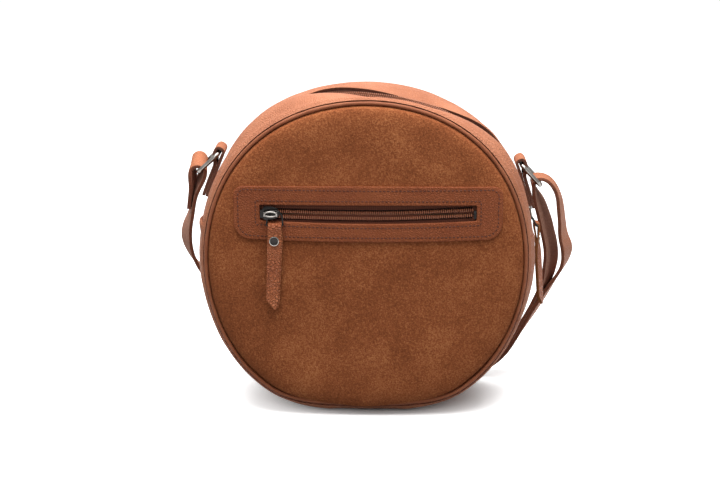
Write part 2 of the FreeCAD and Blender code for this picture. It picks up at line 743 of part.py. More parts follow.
# Adjuster: a bent frame whose raised bar holds the strap's sewn end, with the run passing over two low bars
adjuster_half = strap_width / 2 + adjuster_clear
adjuster_y = strap_back_y + strap_width / 2
low_bar_z = strap_floor_z - strap / 2 - adjuster_clear - adjuster_bar
high_bar_z = (return_z + fold_back_z) / 2
bars = [(adjuster_x - adjuster_spread, low_bar_z), (adjuster_x, high_bar_z), (adjuster_x + adjuster_spread, low_bar_z)]
frame = []
for x, z in bars:
    frame.append(Part.makeCylinder(adjuster_bar, 2 * adjuster_half, Vector(x, adjuster_y - adjuster_half, z), deep))
for low_y in (adjuster_y - adjuster_half - adjuster_plate, adjuster_y + adjuster_half):
    rounds = [Part.makeCylinder(adjuster_bar, adjuster_plate, Vector(x, low_y, z), deep) for x, z in bars]
    corners = [Vector(x, low_y, z) for x, z in bars + bars[:1]]
    frame += rounds + [Part.Face(Part.makePolygon(corners)).extrude(Vector(0, adjuster_plate, 0))]
save("strap_adjuster", join(frame))

print("axis_z", round(axis_z, 3), "flat_half", round(flat_half, 2))
print("main link axis", main_link_axis, "main pull axis", main_pull_axis)
print("pocket link x", pocket_link_x, "y", pocket_link_y, "pocket pull axis", pocket_pull_axis)
print("left fold", polar(fold_radius, tab_left_fold), "right fold", polar(fold_radius, tab_right_fold))
print("left bar", (left_x, left_z), "right bar", (right_x, right_z))
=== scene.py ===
import bpy
import math
from mathutils import Matrix, Vector, noise


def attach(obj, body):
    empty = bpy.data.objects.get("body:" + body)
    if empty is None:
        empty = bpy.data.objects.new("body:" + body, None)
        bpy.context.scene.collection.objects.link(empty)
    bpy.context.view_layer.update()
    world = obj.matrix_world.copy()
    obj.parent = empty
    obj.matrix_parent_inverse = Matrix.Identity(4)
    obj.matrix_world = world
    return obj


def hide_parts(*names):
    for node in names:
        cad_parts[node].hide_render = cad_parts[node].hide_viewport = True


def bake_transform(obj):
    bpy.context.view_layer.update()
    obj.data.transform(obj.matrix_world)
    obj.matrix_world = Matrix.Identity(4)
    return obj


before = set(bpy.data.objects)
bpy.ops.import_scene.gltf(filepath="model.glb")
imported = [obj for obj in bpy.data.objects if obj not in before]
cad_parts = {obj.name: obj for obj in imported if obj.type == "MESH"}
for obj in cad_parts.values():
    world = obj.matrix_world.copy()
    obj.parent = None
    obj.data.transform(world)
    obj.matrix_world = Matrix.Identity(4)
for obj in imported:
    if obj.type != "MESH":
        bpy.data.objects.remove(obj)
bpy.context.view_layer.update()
scene = bpy.context.scene
mm = 0.001
rightWay, backWay, upWay = Vector((1, 0, 0)), Vector((0, 1, 0)), Vector((0, 0, 1))
# lengths in mm, and angles in degrees anticlockwise from the bag's right as seen from the front
bag = {"radius": 107.0, "axisZ": 102.0, "corner": 57.0, "seam": 36.0, "crest": 18.0, "edge": 34.8,
       "roll": 2.5, "zipHalf": 4.8, "zipSink": 2.5, "zipRight": 7.0, "zipLeft": 12.0, "panelInset": 7.0,
       "dish": 5.0, "base": 270.0, "square": 2.2, "squareFrom": (6.0, 32.0), "squareBelow": 0.8,
       "sideSeam": (-0.85, -0.35), "baseRise": 4.3, "riseEnds": (16.0, 36.0), "middleDip": (0.4, 11.0)}
bag["flatHalf"] = math.sqrt((bag["radius"] - bag["corner"]) ** 2 - (bag["axisZ"] - bag["corner"]) ** 2)
bag["cornerAngle"] = math.degrees(math.asin((bag["axisZ"] - bag["corner"]) / (bag["radius"] - bag["corner"])))


def deselect():
    bpy.ops.object.select_all(action="DESELECT")


def pick(*objs):
    deselect()
    for obj in objs:
        obj.select_set(True)
    bpy.context.view_layer.objects.active = objs[0]


def editMode(obj, *steps):
    # each step is an operator and its settings, run on the whole mesh
    pick(obj)
    bpy.ops.object.mode_set(mode="EDIT")
    bpy.ops.mesh.select_all(action="SELECT")
    for operator, settings in steps:
        operator(**settings)
    bpy.ops.object.mode_set(mode="OBJECT")


def modify(obj, kind, **settings):
    pick(obj)
    modifier = obj.modifiers.new(kind.title(), kind)
    for key, value in settings.items():
        setattr(modifier, key, value)
    bpy.ops.object.modifier_apply(modifier=modifier.name)
    return obj


def smoothShade(obj, angle=None):
    pick(obj)
    if angle is None:
        bpy.ops.object.shade_smooth()
    else:
        bpy.ops.object.shade_smooth_by_angle(angle=math.radians(angle))
    return obj


def surface(name, along, across, place, size=(1.0, 1.0), merge=True):
    # a grid whose points are moved to place(u, v); its UV map is in metres along and across
    deselect()
    bpy.ops.mesh.primitive_grid_add(x_subdivisions=along, y_subdivisions=across, size=2)
    obj = bpy.context.object
    obj.name = name
    obj.data.name = name
    spots = [((v.co.x + 1) / 2, (v.co.y + 1) / 2) for v in obj.data.vertices]
    for vertex, (u, v) in zip(obj.data.vertices, spots):
        vertex.co = place(u, v)
    uvs = obj.data.uv_layers.active.data
    for loop in obj.data.loops:
        u, v = spots[loop.vertex_index]
        uvs[loop.index].uv = (u * size[0], v * size[1])
    if merge:
        editMode(obj, (bpy.ops.mesh.remove_doubles, {"threshold": 1e-6}))
    return smoothShade(obj)


def block(size, middle=(0, 0, 0)):
    # a box in mm, to be shaped further
    deselect()
    bpy.ops.mesh.primitive_cube_add(size=1.0, location=Vector(middle) * mm)
    obj = bpy.context.object
    obj.scale = Vector(size) * mm
    bpy.ops.object.transform_apply(location=True, rotation=False, scale=True)
    return obj


def finishPiece(obj, body, mats, *nodes, slot=None):
    # body is None for a piece that spans two bodies; it is left unattached
    if not obj.data.materials:
        for material in mats:
            obj.data.materials.append(material)
    if body:
        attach(obj, body)
    if nodes:
        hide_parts(*nodes)
    return obj


def spread(name, seed, places):
    # copies of a small modelled piece in one mesh, one for each matrix
    points = [vertex.co.copy() for vertex in seed.data.vertices]
    rings = [tuple(face.vertices) for face in seed.data.polygons]
    verts = []
    faces = []
    for place in places:
        start = len(verts)
        verts += [place @ point for point in points]
        faces += [tuple(start + k for k in ring) for ring in rings]
    mesh = bpy.data.meshes.new(name)
    mesh.from_pydata(verts, [], faces)
    obj = bpy.data.objects.new(name, mesh)
    scene.collection.objects.link(obj)
    bpy.data.objects.remove(seed)
    return smoothShade(obj)


def basis(origin, xWay, yWay, zWay):
    turn = Matrix((xWay, yWay, zWay)).transposed().to_4x4()
    return Matrix.Translation(origin) @ turn


def bump(angle, middle, width):
    return math.exp(-((angle - middle) / width) ** 2)


def ease(value, low, high):
    share = min(1.0, max(0.0, (value - low) / (high - low)))
    return share * share * (3 - 2 * share)


# Camera, at the photograph's distance and height
cameraSettings = {"eye": (14.4, -1009.3, 354.2), "aim": (-3.6, -38.0, 116.5), "lens": 79.6, "sensor": 36.0}
cameraEye, cameraAim = Vector(cameraSettings["eye"]), Vector(cameraSettings["aim"])
cameraData = bpy.data.cameras.new("camera")
cameraData.lens = cameraSettings["lens"]
cameraData.sensor_width = cameraSettings["sensor"]
camera = bpy.data.objects.new("camera", cameraData)
scene.collection.objects.link(camera)
camera.location = cameraEye * mm
camera.rotation_euler = (cameraAim - cameraEye).to_track_quat("-Z", "Y").to_euler()
scene.camera = camera
print("camera placed")


# Materials
def srgb(hexText, alpha=1.0):
    parts = [int(hexText[k:k + 2], 16) / 255 for k in (1, 3, 5)]
    return tuple(p / 12.92 if p <= 0.04045 else ((p + 0.055) / 1.055) ** 2.4 for p in parts) + (alpha,)


def addNode(tree, kind, settings=None, inputs=None):
    node = tree.nodes.new(kind)
    for key, value in (settings or {}).items():
        setattr(node, key, value)
    for key, value in (inputs or {}).items():
        if isinstance(value, bpy.types.NodeSocket):
            tree.links.new(value, node.inputs[key])
        else:
            node.inputs[key].default_value = value
    return node


def ramp(node, *stops):
    # colour stops as (place, hex)
    elements = node.color_ramp.elements
    while len(elements) < len(stops):
        elements.new(0.5)
    for element, (place, colour) in zip(elements, stops):
        element.position = place
        element.color = srgb(colour)
    return node.outputs["Color"]


def startMaterial(name, **shader):
    material = bpy.data.materials.new(name)
    material.use_nodes = True
    tree = material.node_tree
    bsdf = tree.nodes["Principled BSDF"]
    for key, value in shader.items():
        bsdf.inputs[key].default_value = value
    return material, tree, bsdf


def perMillimetre(size):
    return 1000.0 / size


def suedeMaterial(name, dark, mid, light):
    # cowhide split with a brushed nap: no gloss, blotches where the nap lies another way, a fine fibre speckle
    material, tree, bsdf = startMaterial(name, **{"Roughness": 0.95, "Specular IOR Level": 0.12,
                                                  "Sheen Weight": 0.12, "Sheen Roughness": 0.5,
                                                  "Sheen Tint": srgb("#d99a66")})
    place = addNode(tree, "ShaderNodeTexCoord").outputs["Object"]
    blotch = addNode(tree, "ShaderNodeTexNoise", inputs={
        "Vector": place, "Scale": perMillimetre(26), "Detail": 5.0, "Roughness": 0.6, "Distortion": 0.4})
    speck = addNode(tree, "ShaderNodeTexNoise", inputs={
        "Vector": place, "Scale": perMillimetre(1.3), "Detail": 2.0, "Roughness": 0.8, "Distortion": 0.3})
    fibre = addNode(tree, "ShaderNodeTexNoise", inputs={
        "Vector": place, "Scale": perMillimetre(0.8), "Detail": 1.0, "Roughness": 0.6})
    patch = addNode(tree, "ShaderNodeMath", {"operation": "MULTIPLY"}, {0: blotch.outputs["Fac"], 1: 1.1})
    blend = addNode(tree, "ShaderNodeMath", {"operation": "MULTIPLY_ADD"},
                    {0: speck.outputs["Fac"], 1: 1.5, 2: patch.outputs[0]})
    total = addNode(tree, "ShaderNodeMath", {"operation": "MULTIPLY_ADD"},
                    {0: fibre.outputs["Fac"], 1: 1.2, 2: blend.outputs[0]})
    share = addNode(tree, "ShaderNodeMapRange", inputs={
        "Value": total.outputs[0], "From Min": 1.3, "From Max": 2.5})
    tree.links.new(ramp(addNode(tree, "ShaderNodeValToRGB", inputs={"Fac": share.outputs[0]}),
                        (0.0, dark), (0.5, mid), (1.0, light)), bsdf.inputs["Base Color"])
    nap = addNode(tree, "ShaderNodeMath", {"operation": "ADD"},
                  {0: speck.outputs["Fac"], 1: fibre.outputs["Fac"]})
    relief = addNode(tree, "ShaderNodeBump", inputs={
        "Strength": 0.55, "Distance": 0.5 * mm, "Height": nap.outputs[0]})
    tree.links.new(relief.outputs["Normal"], bsdf.inputs["Normal"])
    return material


def grainMaterial(name, dark, mid, light, grain=1.3, depth=0.35, rough=0.5, crease=0.0):
    # full-grain cowhide, drum dyed and pressed: pebbled cells a millimetre or so wide, a low waxy sheen
    material, tree, bsdf = startMaterial(name, **{"Specular IOR Level": 0.22, "IOR": 1.45})
    place = addNode(tree, "ShaderNodeTexCoord").outputs["Object"]
    warp = addNode(tree, "ShaderNodeTexNoise", inputs={
        "Vector": place, "Scale": perMillimetre(grain * 3), "Detail": 2.0})
    bent = addNode(tree, "ShaderNodeVectorMath", {"operation": "MULTIPLY_ADD"},
                   {0: warp.outputs["Color"], 1: (grain * 0.9 * mm,) * 3, 2: place})
    cells = addNode(tree, "ShaderNodeTexVoronoi", {"feature": "DISTANCE_TO_EDGE"},
                    {"Vector": bent.outputs[0], "Scale": perMillimetre(grain)})
    pebble = addNode(tree, "ShaderNodeMapRange", inputs={"Value": cells.outputs["Distance"], "From Max": 0.32})
    pores = addNode(tree, "ShaderNodeTexNoise", inputs={
        "Vector": place, "Scale": perMillimetre(0.5), "Detail": 2.0})
    cloud = addNode(tree, "ShaderNodeTexNoise", inputs={
        "Vector": place, "Scale": perMillimetre(22), "Detail": 4.0, "Roughness": 0.6})
    shade = addNode(tree, "ShaderNodeMath", {"operation": "MULTIPLY_ADD"},
                    {0: pebble.outputs[0], 1: 0.22, 2: cloud.outputs["Fac"]})
    share = addNode(tree, "ShaderNodeMapRange", inputs={
        "Value": shade.outputs[0], "From Min": 0.36, "From Max": 0.92})
    tree.links.new(ramp(addNode(tree, "ShaderNodeValToRGB", inputs={"Fac": share.outputs[0]}),
                        (0.0, dark), (0.5, mid), (1.0, light)), bsdf.inputs["Base Color"])
    gloss = addNode(tree, "ShaderNodeMapRange", inputs={
        "Value": pebble.outputs[0], "To Min": rough + 0.14, "To Max": rough})
    tree.links.new(gloss.outputs[0], bsdf.inputs["Roughness"])
    height = addNode(tree, "ShaderNodeMath", {"operation": "MULTIPLY_ADD"},
                     {0: pores.outputs["Fac"], 1: 0.25, 2: pebble.outputs[0]})
    if crease:
        folds = addNode(tree, "ShaderNodeTexNoise", inputs={
            "Vector": place, "Scale": perMillimetre(7), "Detail": 3.0, "Distortion": 1.5})
        height = addNode(tree, "ShaderNodeMath", {"operation": "MULTIPLY_ADD"},
                         {0: folds.outputs["Fac"], 1: crease, 2: height.outputs[0]})
    relief = addNode(tree, "ShaderNodeBump", inputs={
        "Strength": depth, "Distance": 0.7 * mm, "Height": height.outputs[0]})
    tree.links.new(relief.outputs["Normal"], bsdf.inputs["Normal"])
    return material


def rawEdgeMaterial(name, dark, light):
    # a cut leather edge or flesh side: open fibres, dull, darker than the dyed face
    material, tree, bsdf = startMaterial(name, **{"Roughness": 0.85, "Specular IOR Level": 0.2})
    place = addNode(tree, "ShaderNodeTexCoord").outputs["Object"]
    fibres = addNode(tree, "ShaderNodeTexNoise", inputs={
        "Vector": place, "Scale": perMillimetre(1.4), "Detail": 4.0, "Roughness": 0.7})
    tree.links.new(ramp(addNode(tree, "ShaderNodeValToRGB", inputs={"Fac": fibres.outputs["Fac"]}),
                        (0.3, dark), (0.7, light)), bsdf.inputs["Base Color"])
    relief = addNode(tree, "ShaderNodeBump", inputs={
        "Strength": 0.4, "Distance": 0.3 * mm, "Height": fibres.outputs["Fac"]})
    tree.links.new(relief.outputs["Normal"], bsdf.inputs["Normal"])
    return material


def wovenMaterial(name, dark, light, thread=0.5):
    # plain weave of polyester or cotton: crossing threads with dark gaps, no gloss
    material, tree, bsdf = startMaterial(name, **{"Roughness": 0.9, "Specular IOR Level": 0.15})
    place = addNode(tree, "ShaderNodeTexCoord").outputs["Object"]
    threads = []
    for way in ("X", "Z"):
        wave = addNode(tree, "ShaderNodeTexWave", {"bands_direction": way}, {
            "Vector": place, "Scale": perMillimetre(thread * 6.28), "Distortion": 0.3})
        threads.append(wave.outputs["Fac"])
    weave = addNode(tree, "ShaderNodeMath", {"operation": "MULTIPLY"}, {0: threads[0], 1: threads[1]})
    tree.links.new(ramp(addNode(tree, "ShaderNodeValToRGB", inputs={"Fac": weave.outputs[0]}),
                        (0.05, dark), (0.6, light)), bsdf.inputs["Base Color"])
    relief = addNode(tree, "ShaderNodeBump", inputs={
        "Strength": 0.3, "Distance": 0.2 * mm, "Height": weave.outputs[0]})
    tree.links.new(relief.outputs["Normal"], bsdf.inputs["Normal"])
    return material


def plainMaterial(name, dark, light, speck=1.0, **shader):
    # a finish with only a slight mottle: plating, moulded nylon, thread or board, by its shader values
    material, tree, bsdf = startMaterial(name, **shader)
    place = addNode(tree, "ShaderNodeTexCoord").outputs["Object"]
    mottle = addNode(tree, "ShaderNodeTexNoise", inputs={
        "Vector": place, "Scale": perMillimetre(speck), "Detail": 3.0})
    tree.links.new(ramp(addNode(tree, "ShaderNodeValToRGB", inputs={"Fac": mottle.outputs["Fac"]}),
                        (0.3, dark), (0.7, light)), bsdf.inputs["Base Color"])
    return material


suedeTan = suedeMaterial("brushed split suede", "#66371e", "#8a4d2d", "#b47247")
gussetLeather = grainMaterial("pebbled gusset leather", "#9b6045", "#aa6d50", "#b6795b",
                              grain=1.4, depth=0.6, rough=0.52, crease=0.5)
pipingLeather = grainMaterial("thin piping leather", "#7b452c", "#8d5337", "#9c6043",
                              grain=0.9, depth=0.25, rough=0.5, crease=0.6)
facingLeather = grainMaterial("smooth facing leather", "#783d23", "#854728", "#925130",
                              grain=1.5, depth=0.55, rough=0.56)
pullLeather = grainMaterial("pebbled pull leather", "#8c4c2f", "#a45e3b", "#b8714b",
                            grain=1.8, depth=0.95, rough=0.45)
strapLeather = grainMaterial("strap leather", "#92573a", "#a46444", "#b47350",
                             grain=1.4, depth=0.5, rough=0.5, crease=0.5)
fleshSide = rawEdgeMaterial("leather flesh side", "#986b58", "#bd8d79")
darkEdge = rawEdgeMaterial("cut tab edge", "#4d3026", "#71493a")
strapEdge = rawEdgeMaterial("cut strap edge", "#6c3f2f", "#935c46")
paleEdge = rawEdgeMaterial("pale cut pull edge", "#7a4a2c", "#9a673c")
tapeWeave = wovenMaterial("woven zip tape", "#5a352a", "#7c4b39", thread=0.6)
# a darker copy of the same woven tape for the main zip: painted shade, for the zip lying deep between the two
# strips
topTapePaintedShade = wovenMaterial("woven top zip tape with painted shade", "#39211a", "#573628", thread=0.6)
liningWeave = wovenMaterial("cotton lining", "#6e5844", "#93795f", thread=0.7)
coilNylon = plainMaterial("nylon zip coil", "#7b452d", "#955a3b", speck=0.8, Roughness=0.42)
gunmetal = plainMaterial("polished gunmetal plating", "#75716d", "#928e89",
                         speck=6, Metallic=1.0, Roughness=0.16)
gunmetalDark = plainMaterial("dark gunmetal plating", "#1c1b1b", "#2e2c2b",
                             speck=4, Metallic=1.0, Roughness=0.32)
dullThread = {"Roughness": 0.95, "Specular IOR Level": 0.05}
sewingThread = plainMaterial("bonded sewing thread", "#4e332d", "#664439", speck=0.6, **dullThread)
# near-black sewing thread for the pocket coil; partly painted shade, standing in for the dark stripe of shade
# along the coil's sides
blackThreadAndShade = plainMaterial("black coil thread and painted shade", "#150d0b", "#241613", speck=0.6, **dullThread)
greyBoard = plainMaterial("grey board", "#827a70", "#98907f", speck=1.5, Roughness=0.9)
twistedCord = plainMaterial("cotton piping cord", "#b8ab97", "#cfc4b2", speck=0.9, Roughness=0.9)
print("materials made")


# The bag's outline, as in the solids: a circle with a flat base, and a little squarer along the seams
def outlineRadius(angle, inset):
    turn = math.radians(angle)
    dx, dz = math.cos(turn), math.sin(turn)
    if math.degrees(math.asin(max(-1.0, min(1.0, -dz)))) <= bag["cornerAngle"]:
        return bag["radius"] - inset
    cx = math.copysign(bag["flatHalf"], dx)
    cz = bag["corner"] - bag["axisZ"]
    rc = bag["corner"] - inset
    along = dx * cx + dz * cz
    reach = along + math.sqrt(max(0.0, along * along - (cx * cx + cz * cz - rc * rc)))
    if abs(reach * dx) < bag["flatHalf"]:
        reach = (inset - bag["axisZ"]) / dz
    return reach


def spot(angle, inset, y, lift=0.0):
    # a point on the outline, in metres; lift is outwards
    turn = math.radians(angle)
    square = bag["square"] * ease(abs(y), *bag["squareFrom"]) * math.sin(2 * turn) ** 2
    if angle < 0 or angle > 180:
        square *= bag["squareBelow"]
    r = outlineRadius(angle, inset) + square + lift
    return Vector((r * math.cos(turn), y, bag["axisZ"] + r * math.sin(turn))) * mm


def seamShare(angle):
    # the seam lies deeper along the top and the sides than along the base
    return ease(math.sin(math.radians(angle)), *bag["sideSeam"])


def seamRise(angle):
    # along the base the seams are rolled up from the floor, most of all beside the middle
    dip, width = bag["middleDip"]
    corners = 1 - ease(abs(angle - bag["base"]), *bag["riseEnds"])
    return bag["baseRise"] * corners * (1 - dip * bump(angle, bag["base"], width))


def crownInset(y, valley=1.0):
    # how far the gusset's skin is under its crest; valley is the share of the dip towards the zip
    away = abs(y) - bag["crest"]
    if away > 0:
        drop, reach, share = bag["roll"], bag["edge"] - bag["crest"], 1.0
    else:
        drop, reach, share = bag["zipSink"], bag["crest"] - bag["zipHalf"], valley
        away = max(away, -reach)
    arc = (reach * reach + drop * drop) / (2 * drop)
    return share * (arc - math.sqrt(arc * arc - away * away))


def wobble(point, size, amount, shift=0.0):
    # smooth unevenness of the leather, with swells about this size in mm
    return amount * noise.noise(Vector(point) * perMillimetre(size) + rightWay * shift)


# Suede panels: crowned discs whose rims roll into the seam
suedeSettings = {"around": 256, "rings": 64, "thickness": 1.5, "rim": 100.0, "power": 15.0, "crowding": 1.9,
                 "groove": (2.2, 98.6), "dimple": (0.35, 28.0, 6), "droop": (3.8, 27.0), "allowance": 0.022}


def domeHeight(r, sunk=1.0):
    # sunk is the share of the groove that the rim makes beside the piping
    rim = suedeSettings["rim"]
    depth, start = suedeSettings["groove"]
    share = max(0.0, 1 - min(1.0, r / rim) ** suedeSettings["power"])
    return bag["seam"] + bag["dish"] * math.sqrt(share) - sunk * depth * ease(r, start, rim)


def suedePanel(name, side):
    centre = Vector((0, side * bag["seam"], bag["axisZ"])) * mm
    drop, width = suedeSettings["droop"]
    dimple, often, fade = suedeSettings["dimple"]

    def place(u, v):
        angle = (360.0 * u * -side) % 360.0
        base = bump(angle, bag["base"], width)
        rim = spot(angle, bag["panelInset"] - drop * base + seamRise(angle), side * bag["seam"])
        share = 1 - (1 - v) ** suedeSettings["crowding"]
        # the rim runs on under the piping, but not where the panel hangs over it
        share *= 1 + suedeSettings["allowance"] * (1 - base)
        point = centre + (rim - centre) * share
        height = domeHeight(suedeSettings["rim"] * share, 1 - base)
        height += dimple * noise.noise(point * often) * max(0.0, 1 - share ** fade)
        point.y = side * height * mm
        return point
    obj = surface(name, suedeSettings["around"], suedeSettings["rings"], place)
    editMode(obj, (bpy.ops.mesh.remove_doubles, {"threshold": 1e-5}),
             (bpy.ops.mesh.normals_make_consistent, {"inside": False}))
    return modify(obj, "SOLIDIFY", thickness=suedeSettings["thickness"] * mm, offset=-1.0)


pocket = {"x": 1.5, "z": 134.0, "faceY": 41.0, "slot": (139.0, 30.0, 13.8),
          "length": 168.0, "height": 33.2, "middle": 135.2, "topCorner": 6.0, "baseCorner": 10.0,
          "bow": 2.6, "bowFrom": (3.0, 18.0), "suedeReach": 98.5,
          "window": (135.4, 10.0), "windowZ": 135.1, "windowCorner": 1.2, "windowBow": (0.4, 2.2),
          "bowHalf": 68.5}

frontSuede = suedePanel("front_suede", -1)
slotCutter = block(pocket["slot"], (pocket["x"], -pocket["faceY"], pocket["z"]))
modify(frontSuede, "BOOLEAN", operation="DIFFERENCE", object=slotCutter, solver="EXACT")
bpy.data.objects.remove(slotCutter)
smoothShade(frontSuede, 40)
finishPiece(frontSuede, "bag", [suedeTan], "front_panel", slot="suede")
backSuede = suedePanel("back_suede", 1)
finishPiece(backSuede, "bag", [suedeTan], "back_panel", slot="suede")


liningSettings = {"inset": 9.6, "y": 36.2, "around": 128, "rings": 12, "thick": 0.4}


def liningPanel(name, side):
    # a flat cloth disc behind the boards, cut a little inside the seam
    def place(u, v):
        rim = spot(360.0 * u, liningSettings["inset"], side * liningSettings["y"])
        centre = Vector((0, side * liningSettings["y"], bag["axisZ"])) * mm
        return centre + (rim - centre) * v
    obj = surface(name, liningSettings["around"], liningSettings["rings"], place)
    editMode(obj, (bpy.ops.mesh.remove_doubles, {"threshold": 1e-5}))
    return modify(obj, "SOLIDIFY", thickness=liningSettings["thick"] * mm, offset=0.0)


for liningName, liningSide in (("front_lining", -1), ("back_lining", 1)):
    finishPiece(liningPanel(liningName + "_cloth", liningSide), "bag", [liningWeave], liningName, slot="lining")
print("suede panels made")

# Piping: a leather-covered cord in each seam, with small puckers
pipingSettings = {"radius": 1.25, "cord": 0.85, "inset": 4.8, "drop": 1.1, "around": 420, "facets": 14,
                  "puckers": ((9.0, 0.22, 0.0), (3.0, 0.12, 4.0))}


def pipingLoop(name, side, radius, pucker):
    def place(u, v):
        angle = 360.0 * u
        turn = -side * 2 * math.pi * v
        inset = pipingSettings["inset"] + pipingSettings["drop"] * seamShare(angle) + seamRise(angle)
        middle = spot(angle, inset, side * bag["seam"])
        r = radius + pucker * sum(wobble(middle, *form) for form in pipingSettings["puckers"])
        return spot(angle, inset - r * math.cos(turn), side * bag["seam"] + r * math.sin(turn))
    obj = surface(name, pipingSettings["around"], pipingSettings["facets"], place)
    editMode(obj, (bpy.ops.mesh.normals_make_consistent, {"inside": False}))
    return obj


for pipingName, pipingSide in (("front_piping", -1), ("back_piping", 1)):
    sleeve = pipingLoop(pipingName + "_sewn", pipingSide, pipingSettings["radius"], 1.0)
    finishPiece(sleeve, "bag", [pipingLeather], pipingName, slot="piping_leather")
    filler = pipingLoop(pipingName + "_filler", pipingSide, pipingSettings["cord"], 0.0)
    finishPiece(filler, "bag", [twistedCord], pipingName + "_cord", slot="piping_cord")
print("piping made")

# Gusset: a soft band with a rolled seam edge, and two strips beside the zip that puff up and sag unevenly
gussetSettings = {"thick": 1.6, "around": 330, "across": 40, "sheet": (0.42, 0.075), "flat": (8.0, 13.5),
                  "ends": (13.4, 8.4), "laps": (1.7, 0.5), "lapSlope": (1.0, 5.0), "hem": (0.5, 0.6),
                  "lapEdge": 30.0, "endValley": (0.6, 9.0), "seamDrop": 1.9, "dropFrom": (20.0, 37.8),
                  "seamRoll": (1.0, 32.4, 1.6), "ripples": ((34.0, 0.45, 0.0), (11.0, 0.2, 9.0)),
                  "pinch": (29.0, 34.0), "bulge": (1.1, 2.0, 24.0), "bulgeEdge": (22.0, 34.0),
                  "bulgeDip": (0.5, 8.0)}
stripSettings = {"around": 300, "across": 30, "sheet": (0.31, 0.03), "lap": 3.0, "formEnds": 12.0,
                 "liningDepth": 2.2, "liningThick": 0.4, "liningEdge": 11.9}
# each form is a height in mm, the angle of its middle, its width in degrees, and where on the strip it is:
# on its crest, along its zip edge, or on all of it but the seam
frontForms = ((5.2, 122.0, 20.0, "crest"), (3.5, 38.0, 15.0, "crest"), (-6.9, 81.5, 18.5, "whole"))
backForms = ((1.6, 34.0, 16.0, "crest"), (2.0, 133.0, 18.0, "crest"), (-1.7, 82.0, 17.0, "crest"),
             (5.4, 43.0, 12.5, "edge"), (-2.6, 74.0, 11.0, "edge"), (2.8, 106.0, 13.0, "edge"))


def seamDepth(angle, y):
    # how far the leather is drawn in towards the seam
    nearSeam = ease(abs(y), *gussetSettings["dropFrom"]) ** 2
    return (gussetSettings["seamDrop"] * seamShare(angle) + seamRise(angle)) * nearSeam


def sideBulge(angle, y):
    # the right side swells between the seams, less along its middle
    height, middle, width = gussetSettings["bulge"]
    dip, dipWidth = gussetSettings["bulgeDip"]
    around = bump(angle - 360.0 if angle > 180.0 else angle, middle, width)
    across = 1 - ease(abs(y), *gussetSettings["bulgeEdge"])
    return height * around * across * (1 - dip * bump(y, 0.0, dipWidth))


def gussetSkin(angle, y, lift=0.0, valley=1.0):
    inset = crownInset(y, valley) + seamDepth(angle, y)
    point = spot(angle, inset, y)
    ripples = sum(wobble(point, *form) for form in gussetSettings["ripples"])
    height, middle, width = gussetSettings["seamRoll"]
    roll = height * bump(abs(y), middle, width)
    pinch = 1.0 - ease(abs(y), *gussetSettings["pinch"])
    return spot(angle, inset, y, ripples * pinch + roll + lift + sideBulge(angle, y))


def baseGusset():
    start, stop = 180.0 - gussetSettings["ends"][0], 360.0 + gussetSettings["ends"][1]
    hemShare, hemWidth = gussetSettings["hem"]
    valleyDepth, valleyWidth = gussetSettings["endValley"]

    def place(u, v):
        angle = start + (stop - start) * u
        y = bag["edge"] * (1 - 2 * v)
        fromEnd = min(angle - start, stop - angle)
        # the ends lie over the strips, their edge folded under
        lap = gussetSettings["laps"][0 if angle < bag["base"] else 1]
        slope = 1 - ease(fromEnd, *gussetSettings["lapSlope"])
        lift = lap * (slope - hemShare * (1 - ease(fromEnd, 0.0, hemWidth)))
        lift *= 1 - ease(abs(y), gussetSettings["lapEdge"], bag["edge"])
        valley = valleyDepth * bump(fromEnd, 0.0, valleyWidth)
        flat = 1 - ease(abs(angle - bag["base"]), *gussetSettings["flat"])
        point = gussetSkin(angle - 360.0 if angle > 360.0 else angle, y, lift, valley)
        if flat > 0:
            point.z = point.z * (1 - flat) + (crownInset(y, valley) + seamDepth(angle, y)) * mm * flat
        return point
    obj = surface("base_gusset_leather", gussetSettings["around"], gussetSettings["across"], place,
                  gussetSettings["sheet"])
    for material in (gussetLeather, strapEdge):
        obj.data.materials.append(material)
    modify(obj, "SOLIDIFY", thickness=gussetSettings["thick"] * mm, offset=-1.0, material_offset_rim=1)
    return smoothShade(obj, 50)


def stripSkin(angle, side, y, depth=0.0):
    # a point on the front (side -1) or back strip, y counted from the bag's middle, at a depth under the skin
    share = (bag["edge"] - y) / (bag["edge"] - bag["zipHalf"])
    ends = ease(min(angle - bag["zipRight"], 180.0 - bag["zipLeft"] - angle), 0.0, stripSettings["formEnds"])
    # shares of the way from the seam to the zip
    shapes = {"crest": ease(share, 0.0, 0.55) * (1 - 0.45 * ease(share, 0.6, 1.0)),
              "edge": ease(share, 0.55, 1.0), "whole": ease(share, 0.0, 0.5)}
    forms = frontForms if side < 0 else backForms
    lift = sum(height * bump(angle, middle, width) * shapes[where] for height, middle, width, where in forms)
    return gussetSkin(angle, side * y, lift * ends - depth)


def stripLayer(name, side, lowY, depth, thick, *mats):
    start, stop = bag["zipRight"] - stripSettings["lap"], 180.0 - bag["zipLeft"] + stripSettings["lap"]

    def place(u, v):
        share = v if side > 0 else 1 - v
        return stripSkin(start + (stop - start) * u, side, bag["edge"] + (lowY - bag["edge"]) * share, depth)
    obj = surface(name, stripSettings["around"], stripSettings["across"], place, stripSettings["sheet"])
    for material in mats:
        obj.data.materials.append(material)
    modify(obj, "SOLIDIFY", thickness=thick * mm, offset=-1.0, material_offset_rim=len(mats) - 1)
    return smoothShade(obj, 50)


finishPiece(baseGusset(), "bag", [], "base_gusset", slot="leather")
for stripName, stripSide in (("front", -1), ("back", 1)):
    strip = stripLayer("zip_strip_" + stripName + "_leather", stripSide, bag["zipHalf"], 0.0,
                       gussetSettings["thick"], gussetLeather, darkEdge)
    finishPiece(strip, "bag", [], "zip_strip_" + stripName, slot="leather")
    strip = stripLayer("zip_strip_" + stripName + "_cloth", stripSide, stripSettings["liningEdge"],
                       stripSettings["liningDepth"], stripSettings["liningThick"], liningWeave)
    finishPiece(strip, "bag", [], "zip_strip_lining_" + stripName, slot="lining")
print("gusset made")


